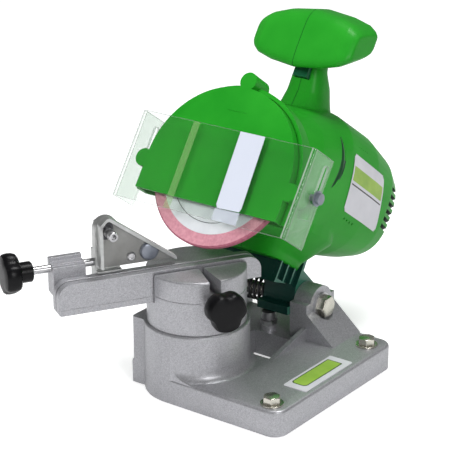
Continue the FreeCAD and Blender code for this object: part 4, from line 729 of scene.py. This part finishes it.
def pawl_fixings():
    """The pawl's pivot bolt with its hexagon socket, and its small star screw."""
    profile = [(0, 11.0), (2.45, 11.0), (2.45, 4.6), (3.2, 3.8), (3.2, 0.4), (2.75, 0.0), (2.75, -4.4),
               (3.2, -4.8), (3.2, -7.6), (2.8, -8.2), (0, -8.2)]
    socket = [(x + PAWL_PIVOT[0], z + PAWL_PIVOT[2]) for x, z in hexagon(3.2)]
    mesh = combined(round_bar(profile, "Y", PAWL_PIVOT, 40), [
        ("+", cylinder(2.5, 4, 19.9, "Y", PAWL_PIVOT, 32)),
        ("-", bar(socket, -9, -4.5, "XZ"))])
    settle("pawl_bolt_skin", mesh, VISE, "steel", "stop_carriage", ["pawl_bolt"], edge=0.2, steps=2)
    star = []
    for step in range(12):
        reach = 1.75 if step % 2 == 0 else 1.05
        angle = math.pi * step / 6
        star.append((PAWL_SCREW[0] + reach * math.cos(angle), PAWL_SCREW[2] + reach * math.sin(angle)))
    head_profile = [(0, 6.0), (1.5, 6.0), (1.5, 4.1), (3.0, 4.1), (2.9, 3.4), (2.2, 2.7), (0, 2.6)]
    mesh = combined(round_bar(head_profile, "Y", PAWL_SCREW, 40), [("-", bar(star, 2, 3.3, "XZ"))])
    settle("pawl_screw_skin", mesh, VISE, "steel", "pawl", ["pawl_screw"])


def guard_cover():
    """The front half of the wheel guard: a low domed face, a rim, three lobes and a straight lower edge."""
    face, wall_front, wall = 9.2, 7.2, 2
    adds = [("+", box((-COVER_RADIUS, CHORD, -1), (COVER_RADIUS, 0.5, face)))]
    adds += [("+", cylinder(LOBE_RADIUS, 3, face, "Z", (x, y, 0), 48)) for x, y in LOBES]
    below = ("-", box((-80, -90, -5), (80, CHORD, 30)))
    outer = combined(cylinder(COVER_RADIUS, -1, face, steps=160), adds + [below])
    outer = shaped_edges(helper(outer), 2.4, 5, 40, axis=2, above=face - 0.2)
    dome = [(0, 8), (16, 8), (16, 9.22), (13, 9.45), (9, 9.7), (5, 9.85), (0, 9.9)]
    inner = COVER_RADIUS - wall
    mesh = combined(outer, [
        ("+", round_bar(dome, steps=96)),
        ("-", cylinder(inner, -2, wall_front, steps=160)),
        ("-", box((-inner, -25, -2), (inner, 0, wall_front))),
        ("-", cylinder(14, 7, 8.6, steps=64)),
        ("-", box((-7, 38.2, 9.0), (7, 38.8, 9.5))),
    ])
    settle("guard_cover_skin", mesh, HEAD, "green_plastic", "head", ["guard_cover"], edge=0.3, steps=2)


def guard_back():
    """The rear half of the wheel guard, screwed to the housing's nose."""
    rear, rim, plate = -8, 3, -5.5
    inner = 55.3
    adds = [("+", box((-GUARD_RADIUS, CHORD, rear), (GUARD_RADIUS, 0.5, rim)))]
    adds += [("+", cylinder(LOBE_RADIUS, rear, rim, "Z", (x, y, 0), 48)) for x, y in LOBES]
    mesh = combined(cylinder(GUARD_RADIUS, rear, rim, steps=160), adds + [
        ("-", cylinder(inner, plate, 4, steps=160)),
        ("-", box((-inner, -25, plate), (inner, 0, 4))),
        ("-", box((-80, -90, -15), (80, CHORD, 30))),
        ("-", cylinder(16, -9, -4, steps=96)),
    ])
    settle("guard_back_skin", mesh, HEAD, "green_plastic", "head", ["guard_back"], edge=0.7, steps=3)


def visor():
    """The clear sheet with its two folded flaps and their slots, painted highlights on its edges and folds,
    and flat bands of painted reflection on its face.
    """
    half_width, inner_half, flap_back, inner_face = 67.8, 65.8, -11, 11.6
    slot_low, slot_high, slot_back, slot_radius = -0.5, 18.5, -6.5, 2.15
    outline = round_corner([(-half_width, flap_back), (-inner_half, flap_back),
                            (-inner_half, inner_face, 1.0), (inner_half, inner_face, 1.0),
                            (inner_half, flap_back), (half_width, flap_back),
                            (half_width, VISOR_FACE, 2.6), (-half_width, VISOR_FACE, 2.6)], 6)
    slot = []
    for end, first in ((slot_high, 0), (slot_low, math.pi)):
        for step in range(25):
            angle = first + math.pi * step / 24
            slot.append((end + slot_radius * math.sin(angle), slot_back + slot_radius * math.cos(angle)))
    mesh = combined(bar(outline, VISOR_LOW, VISOR_HIGH, "XZ"), [("-", bar(slot, -80, 80, "YZ"))])
    obj = settle("visor_skin", mesh, HEAD, "clear_plastic", "visor", ["visor"], edge=0.25, steps=2)
    # Painted highlights: the sheet's edge faces and its folds get a pale, partly covering colour in place of
    # the light they catch.
    add_looks(obj, "clear_edge_highlight", "clear_fold_highlight")
    for face, place, way in faces_in(obj, HEAD):
        side = abs(way.x)
        if abs(way.y) > 0.9 or place.z > 10 and (0.94 < side < 0.998 or 0.05 < side < 0.34):
            face.material_index = 1
        elif side < 0.9 and place.z < -3:
            face.material_index = 2 if place.z < -10.5 else 1
    # Painted reflections on the face: a bright white band with a fading lower end, and one faint glint.
    band = [(11.0, 25.5), (29.9, 25.5), (31.6, -22.0), (30.8, -24.6), (14.0, -25.2), (12.6, -23.0)]
    band_end = [(12.6, -25.6), (31.4, -25.2), (31.8, -33.3), (12.9, -33.3)]
    glint = [(-25.7, 25.5), (-20.5, 25.5), (-20.0, -33.3), (-25.2, -33.3)]
    for name, corners, look in (("visor_reflection", band, "white_reflection"),
                                ("visor_reflection_end", band_end, "fading_reflection"),
                                ("visor_glint", glint, "faint_reflection")):
        sheet = helper_mesh(bar(corners, VISOR_FACE + 0.02, VISOR_FACE + 0.10))
        settle(name, sheet, HEAD, look, "visor")


def wheel():
    """The pink wheel with its darker rim, a paper label on each side and one thin printed arc."""
    chamfer, rim_from, paper_face = 1.4, 49.2, 2.65
    mesh = bmesh.new()
    profile = [(BORE_RADIUS, -WHEEL_HALF), (WHEEL_RADIUS - 1, -WHEEL_HALF), (WHEEL_RADIUS, -chamfer),
               (WHEEL_RADIUS, chamfer), (WHEEL_RADIUS - 1, WHEEL_HALF), (BORE_RADIUS, WHEEL_HALF)]
    lathe(mesh, profile, steps=180)
    obj = settle("wheel_skin", mesh, HEAD, "abrasive", "wheel", ["grinding_wheel"])
    add_looks(obj, "abrasive_rim")
    for face, place, _ in faces_in(obj, HEAD):
        if place.length > rim_from:
            face.material_index = 1
    mesh = bmesh.new()
    for low, high in ((WHEEL_HALF, paper_face), (-paper_face, -WHEEL_HALF)):
        paper = [(BORE_RADIUS, low), (PAPER_RADIUS, low), (PAPER_RADIUS, high), (BORE_RADIUS, high)]
        lathe(mesh, paper, steps=160)
    settle("paper_skin", mesh, HEAD, "paper", "wheel", ["wheel_blotters"])
    mesh = bmesh.new()
    first, last = math.radians(-152), math.radians(-40)
    prism(mesh, arc(34.0, first, last, 32) + arc(34.4, last, first, 32), 2.66, 2.69)
    settle("paper_line", mesh, HEAD, "dark_steel", "wheel")


# Sections of the shell as shares of its sizes: how far along, width, height or depth, and shift of centre.
BARREL = ((0.00, 0.95, 0.84, 0.35), (0.16, 1.00, 0.94, 0.60), (0.40, 1.00, 1.045, 0.90),
          (0.66, 1.00, 1.005, 1.00), (0.84, 0.97, 0.89, 1.05), (0.94, 0.90, 0.77, 1.03),
          (1.00, 0.75, 0.64, 1.00))
NECK = ((0.00, 1.50, 1.69, 1.14), (0.21, 1.33, 1.46, 1.11), (0.40, 1.13, 1.15, 1.06),
        (0.58, 1.00, 1.00, 1.00), (0.74, 0.83, 0.77, 0.92), (1.00, 0.79, 0.73, 0.83))
GRIP = ((-1.00, 0.42, 0.77), (-0.93, 0.55, 0.90), (-0.80, 0.71, 1.00), (-0.50, 0.88, 1.00),
        (0.00, 1.00, 1.00), (0.50, 0.88, 1.00), (0.80, 0.71, 1.00), (0.93, 0.55, 0.90),
        (1.00, 0.42, 0.77))
SKIRT = ((1.18, 1.00, 0.95, 1.03), (1.00, 1.05, 1.04, 1.02), (0.40, 1.56, 1.43, 1.02),
         (-0.27, 1.69, 1.30, 0.88))


def voxel_union(obj, size, smooth):
    remesh = obj.modifiers.new("one_skin", "REMESH")
    remesh.mode = "VOXEL"
    remesh.voxel_size = size
    relax = obj.modifiers.new("relax", "SMOOTH")
    relax.factor = 0.5
    relax.iterations = smooth
    shape = bpy.data.meshes.new_from_object(obj.evaluated_get(bpy.context.evaluated_depsgraph_get()))
    bpy.data.objects.remove(obj, do_unlink=True)
    made = bpy.data.objects.new("helper", shape)
    bpy.context.scene.collection.objects.link(made)
    return made


def shell_skin():
    """Barrel, neck, grip and skirt joined into one smooth skin."""
    barrel_rise, barrel_front, barrel_length, barrel_across, barrel_up = 26, -8, 145.3, 47.5, 46
    neck_foot, neck_height, neck_place, neck_across, neck_deep = 55, 53, -59, 12, 13
    grip_reach, grip_height, grip_place, grip_bow, grip_up = 39.0, 112.5, -43.4, 2.3, 19.8
    skirt_drop, skirt_place, skirt_across, skirt_deep = -30, -66, 27, 21
    mesh = bmesh.new()
    rings = []
    for along, width, height, rise in BARREL:
        centre = (0, barrel_rise * rise, barrel_front - barrel_length * along)
        rings.append(section(centre, (barrel_across * width, 0, 0), (0, barrel_up * height, 0)))
    loft(mesh, rings)
    rings = []
    for along, width, depth, lean in NECK:
        centre = (0, neck_foot + neck_height * along, neck_place * lean)
        rings.append(section(centre, (neck_across * width, 0, 0), (0, 0, neck_deep * depth)))
    loft(mesh, rings)
    rings = []
    for along, height, depth in GRIP:
        centre = (grip_reach * along, grip_height, grip_place - grip_bow * along * along)
        across = (0, 8.4 * depth, -14.6 * depth)
        rings.append(section(centre, across, (0, grip_up * height, 0), 4.2, taper=0.117))
    loft(mesh, rings)
    rings = []
    for drop, width, depth, back in SKIRT:
        centre = (0, skirt_drop * drop, skirt_place * back)
        rings.append(section(centre, (skirt_across * width, 0, 0), (0, 0, skirt_deep * depth), 4.0))
    loft(mesh, rings)
    return voxel_union(helper(mesh), 0.8, 5)


def skin_spot(tree, behind, up):
    """The point of the shell's +X side at a distance behind the wheel and a height above its axis."""
    spot, normal, _, _ = tree.ray_cast(Vector((80, up, -behind)), Vector((-1, 0, 0)))
    return spot, normal


def groove(tree, path, radius, sides=12):
    """A cutter along a curve that lies on the shell's side, thin at both ends."""
    rings = []
    count = len(path)
    spots = [skin_spot(tree, behind, up)[0] for behind, up in path]
    for i, spot in enumerate(spots):
        ahead = spots[min(i + 1, count - 1)] - spots[max(i - 1, 0)]
        along = ahead.normalized()
        side = along.cross(Vector((1, 0, 0))).normalized()
        out = side.cross(along).normalized()
        share = max(math.sin(math.pi * (i + 0.35) / (count - 0.3)), 0.08) ** 0.7
        wide, deep = radius * share, radius * 0.6 * share
        ring = []
        for step in range(sides):
            angle = CIRCLE * step / sides
            ring.append(spot + side * (wide * math.cos(angle)) + out * (deep * math.sin(angle)))
        rings.append(ring)
    mesh = bmesh.new()
    loft(mesh, rings)
    return helper(mesh)


def side_label(tree):
    """The bare plate on the barrel's side: silver, with one green band and one plain dark line."""
    across, down, lift, cut_corner = 56, 40, 0.35, 2
    mesh = bmesh.new()
    grid, inks = [], []
    for row in range(down + 1):
        line = []
        for column in range(across + 1):
            a, b = column / across, row / down
            behind = 68 + 45 * a + 7 * b + 6 * a * b
            up = 47.5 - a - 37.5 * b + 1.5 * a * b
            spot, normal = skin_spot(tree, behind, up)
            line.append(mesh.verts.new(spot + normal * lift))
        grid.append(line)
    for row in range(down):
        for column in range(across):
            corner = min(column, across - 1 - column) + min(row, down - 1 - row)
            if corner < cut_corner:
                continue
            near, far = grid[row], grid[row + 1]
            mesh.faces.new((near[column], near[column + 1], far[column + 1], far[column]))
            a, b = (column + 0.5) / across, (row + 0.5) / down
            inside = 0.04 < a < 0.96
            inks.append(1 if inside and 0.20 < b < 0.44 else 2 if inside and 0.50 < b < 0.53 else 0)
    obj = settle("side_label", mesh, HEAD, "label", "head", ["housing_label_plate"])
    add_looks(obj, "label_green", "label_dark")
    for face, ink in zip(obj.data.polygons, inks):
        face.material_index = ink


def housing():
    """The shell over both halves of the housing, with its label, groove, dots, vents and holes; painted shade
    lies inside the groove and the vent slots.
    """
    slot_floor, slot_left, slot_count, slot_pitch, slot_height, slot_bottom = -131.0, 34.2, 6, 5.3, 2.8, 16
    skin = shell_skin()
    shape = helper_mesh(skin)
    tree = BVHTree.FromBMesh(shape)
    side_label(tree)
    skin = helper(shape)
    crescent = [(52, 52), (53.4, 47.5), (54.8, 43), (56, 38.5), (56.4, 34), (56.2, 30), (55.2, 26),
                (53.6, 22), (51.5, 18)]
    cuts = [("-", groove(tree, crescent, 3.0))]
    for count, start, pitch, radius, up in ((5, 76, 2.7, 0.5, 53.6), (4, 81.2, 4.1, 0.8, 5.9)):
        pins = bmesh.new()
        for step in range(count):
            behind = start + pitch * step
            spot, _ = skin_spot(tree, behind, up)
            low, high = spot.x - 0.9, spot.x + 1
            lathe(pins, [(0, low), (radius, low), (radius, high), (0, high)], "X", (0, up, -behind), 12)
        cuts.append(("-", helper(pins)))
    slots = bmesh.new()
    for step in range(slot_count):
        low = slot_bottom + slot_pitch * step
        high = low + slot_height
        prism(slots, [(slot_left, low), (50, low), (50, high), (slot_left, high)], -154.5, slot_floor)
    cuts.append(("-", helper(slots)))
    cuts.append(("-", box((-5.8, 83.7, -52), (5.8, 92.3, -42))))
    cuts.append(("-", cylinder(4.55, -154, -145, "Z", (-16, 22, 0), 32)))
    obj = settle("housing_skin", combined(skin, cuts), HEAD, "green_housing", "head",
                 ["housing_left", "housing_right"], angle=40)
    add_looks(obj, "slot_shade", "groove_shade_green")
    for face, place, way in faces_in(obj, HEAD):
        # Painted shade: faces sunk more than 0.4 mm into the crescent groove get a darker green.
        near_groove = -61 < place.z < -47 and 15 < place.y < 55 and place.x > 20
        if near_groove and tree.find_nearest(place)[3] > 0.4:
            face.material_index = 2
        # Painted shade: the walls and floors of the vent slots get a dark green.
        in_slots = place.z < slot_floor + 0.1 and place.x > slot_left - 0.1 and 15.9 < place.y < 46
        if in_slots and (place.x < slot_left + 0.2 or abs(way.y) > 0.97 or way.z < -0.97):
            face.material_index = 1


def bench_bolts():
    """The two bolts that hold the base to the bench, with their washers."""
    washer_top = 18.1
    for count, y in enumerate(BENCH_BOLT_PLACES):
        spot = (BENCH_BOLT_RIGHT, y, 0)
        ring = [(3.4, PLATE_TOP), (7.4, PLATE_TOP), (7.4, washer_top), (3.4, washer_top)]
        washer = helper_mesh(round_bar(ring, "Z", spot, 48))
        settle(f"bench_washer_{count}", washer, BASE, "zinc_steel", "base", edge=0.2, steps=2)
        hex_piece(f"bench_bolt_{count}", BASE, "Z", spot, 10.0, washer_top, 22.6, "zinc_steel", "base")


def hinge():
    """The hinge bolt: its hexagon head outside the right ear and its long shank."""
    shank = cylinder(HINGE_RADIUS, -45.1, 41.6, "X", HINGE, 32)
    hex_piece("hinge_bolt_skin", BASE, "X", HINGE, 13.0, 41.6, 46.9, "zinc_steel", "base", ["hinge_bolt"],
              extra=[("+", shank)])


def base_label():
    """The bare plate on the base's deck: silver, with one green band inside a thin dark edge."""
    plate = [(66.3, 1.5, 1), (83.7, 1.5, 1), (83.7, 54.5, 1), (66.3, 54.5, 1)]
    edge = [(68.0, 7, 3), (79.5, 7, 3), (79.5, 49, 1), (68.0, 49, 1)]
    band = [(68.8, 7.8, 2.6), (78.7, 7.8, 2.6), (78.7, 48.2, 0.8), (68.8, 48.2, 0.8)]
    for name, look, corners, steps, low, high, nodes in (
            ("deck_label", "label", plate, 4, PLATE_TOP, 17.4, ["base_label_plate"]),
            ("deck_label_edge", "label_edge", edge, 5, 17.3, 17.44, ()),
            ("deck_label_band", "label_green", band, 5, 17.4, 17.48, ())):
        sheet = helper_mesh(bar(round_corner(corners, steps), low, high))
        settle(name, sheet, BASE, look, "base", nodes)


# The stage: glow of the floor, light of the world, and each lamp's name, place, size and watts.
FLOOR_GLOW, GLOSSY_SHARE = 0.55, 0.3
WORLD_LIGHT, WORLD_GLOSSY_DROP = 0.28, -0.12
LAMPS = (
    ("key", (-0.5, -1.3, 1.2), 0.5, 15.5),
    ("side", (1.25, -0.75, 0.75), 0.45, 8.0),
    ("top", (0.1, 0.35, 1.5), 0.5, 12.0),
)
LAMP_AIM = (-0.06, 0.0, 0.1)
# The camera's place, axes and lens, fitted to the base, drum, guard and visor in the photograph.
CAMERA_PLACE = (0.589385, -0.889488, 0.525473)
CAMERA_AXES = ((0.804996, 0.593276, -0.00207), (-0.213472, 0.292905, 0.932006),
               (0.553544, -0.74982, 0.362436))
CAMERA_LENS, CAMERA_SENSOR = 142.5, 36.0
PICTURE_SIDE = 470


def floor():
    """A pale ground under the part that shows as white to the camera and keeps its soft shadows."""
    size, drop = 6.0, -0.0005
    mesh = bpy.data.meshes.new("floor")
    corners = [(-size, -size, drop), (size, -size, drop), (size, size, drop), (-size, size, drop)]
    mesh.from_pydata(corners, [], [(0, 1, 2, 3)])
    obj = bpy.data.objects.new("floor", mesh)
    bpy.context.scene.collection.objects.link(obj)
    material, tree, shader = new_material("floor_look")
    setting(shader, Base_Color=(0.80, 0.80, 0.81, 1.0), Roughness=0.9, Emission_Color=(1.0, 1.0, 1.0, 1.0))
    seen = tree.nodes.new("ShaderNodeLightPath")
    glow = math_node(tree, "MULTIPLY", FLOOR_GLOW)
    both = math_node(tree, "MULTIPLY_ADD", GLOSSY_SHARE)
    tree.links.new(seen.outputs["Is Glossy Ray"], both.inputs[0])
    tree.links.new(seen.outputs["Is Camera Ray"], both.inputs[2])
    tree.links.new(both.outputs["Value"], glow.inputs[0])
    tree.links.new(glow.outputs["Value"], shader.inputs["Emission Strength"])
    obj.data.materials.append(material)


def lights():
    """A soft white world and three soft lamps; the key lamp leaves no bright spot of its own."""
    world = bpy.context.scene.world or bpy.data.worlds.new("world")
    bpy.context.scene.world = world
    world.use_nodes = True
    tree = world.node_tree
    tree.nodes["Background"].inputs["Color"].default_value = (1.0, 1.0, 1.0, 1.0)
    seen = tree.nodes.new("ShaderNodeLightPath")
    level = math_node(tree, "MULTIPLY_ADD", WORLD_GLOSSY_DROP, WORLD_LIGHT)
    tree.links.new(seen.outputs["Is Glossy Ray"], level.inputs[0])
    tree.links.new(level.outputs["Value"], tree.nodes["Background"].inputs["Strength"])
    for name, spot, size, power in LAMPS:
        data = bpy.data.lights.new(name, "AREA")
        data.energy = power
        data.size = size
        obj = bpy.data.objects.new(name, data)
        obj.location = spot
        obj.rotation_mode = "QUATERNION"
        obj.rotation_quaternion = (Vector(LAMP_AIM) - Vector(spot)).to_track_quat("-Z", "Y")
        obj.visible_glossy = name != "key"
        bpy.context.scene.collection.objects.link(obj)


def camera():
    data = bpy.data.cameras.new("photo_view")
    data.sensor_width = CAMERA_SENSOR
    data.lens = CAMERA_LENS
    data.clip_start, data.clip_end = 0.05, 30.0
    obj = bpy.data.objects.new("photo_view", data)
    obj.matrix_world = Matrix.Translation(CAMERA_PLACE) @ Matrix(CAMERA_AXES).transposed().to_4x4()
    bpy.context.scene.collection.objects.link(obj)
    scene = bpy.context.scene
    scene.camera = obj
    scene.view_settings.view_transform = "Standard"
    scene.render.resolution_x = PICTURE_SIDE
    scene.render.resolution_y = PICTURE_SIDE


def repaint_frame():
    """Give every carried-over CAD piece its worked-out look in place of the plain packed colour."""
    slots = {item["node"]: item["material_slot"] for item in frame["record"]["subparts"]}
    # The trigger's look is painted shade, dark green to match the shade just under the grip.
    special = {"trigger_button": "trigger_shade_green", "visor_screws": "blue_steel", "visor_washers": "blue_steel"}
    for name, obj in frame["nodes"].items():
        paint(obj, special.get(name, slots[name]))
        soften(obj, 0.0)
    # Painted highlight: the small faces on the foot's +X side, low down, are the ribs' outer faces and get a
    # paler teal.
    rib_top, rib_area, skin_depth = 0.105, 1.2e-4, 0.0003
    foot = frame["nodes"]["head_foot"]
    add_looks(foot, "rib_highlight_green")
    side = max((foot.matrix_world @ vert.co).x for vert in foot.data.vertices)
    for face in foot.data.polygons:
        middle = foot.matrix_world @ face.center
        if middle.x > side - skin_depth and middle.z < rib_top and face.area < rib_area:
            face.material_index = 1


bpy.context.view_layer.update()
repaint_frame()
base_casting()
base_label()
vise_turret()
jaws()
chain_stop()
guard_back()
guard_cover()
visor()
wheel()
housing()
hinge()
bench_bolts()
knob("clamp_knob_skin", VISE, "Y", CLAMP, 13.2, -42, -55, "clamp_handle", "clamp_knob", (7.0, -38, 3.05))
knob("stop_knob_skin", VISE, "X", ROD, 13.2, -112, -123, "stop_handle", "stop_knob", (6.5, -104, ROD_HOLE))
floor()
lights()
camera()
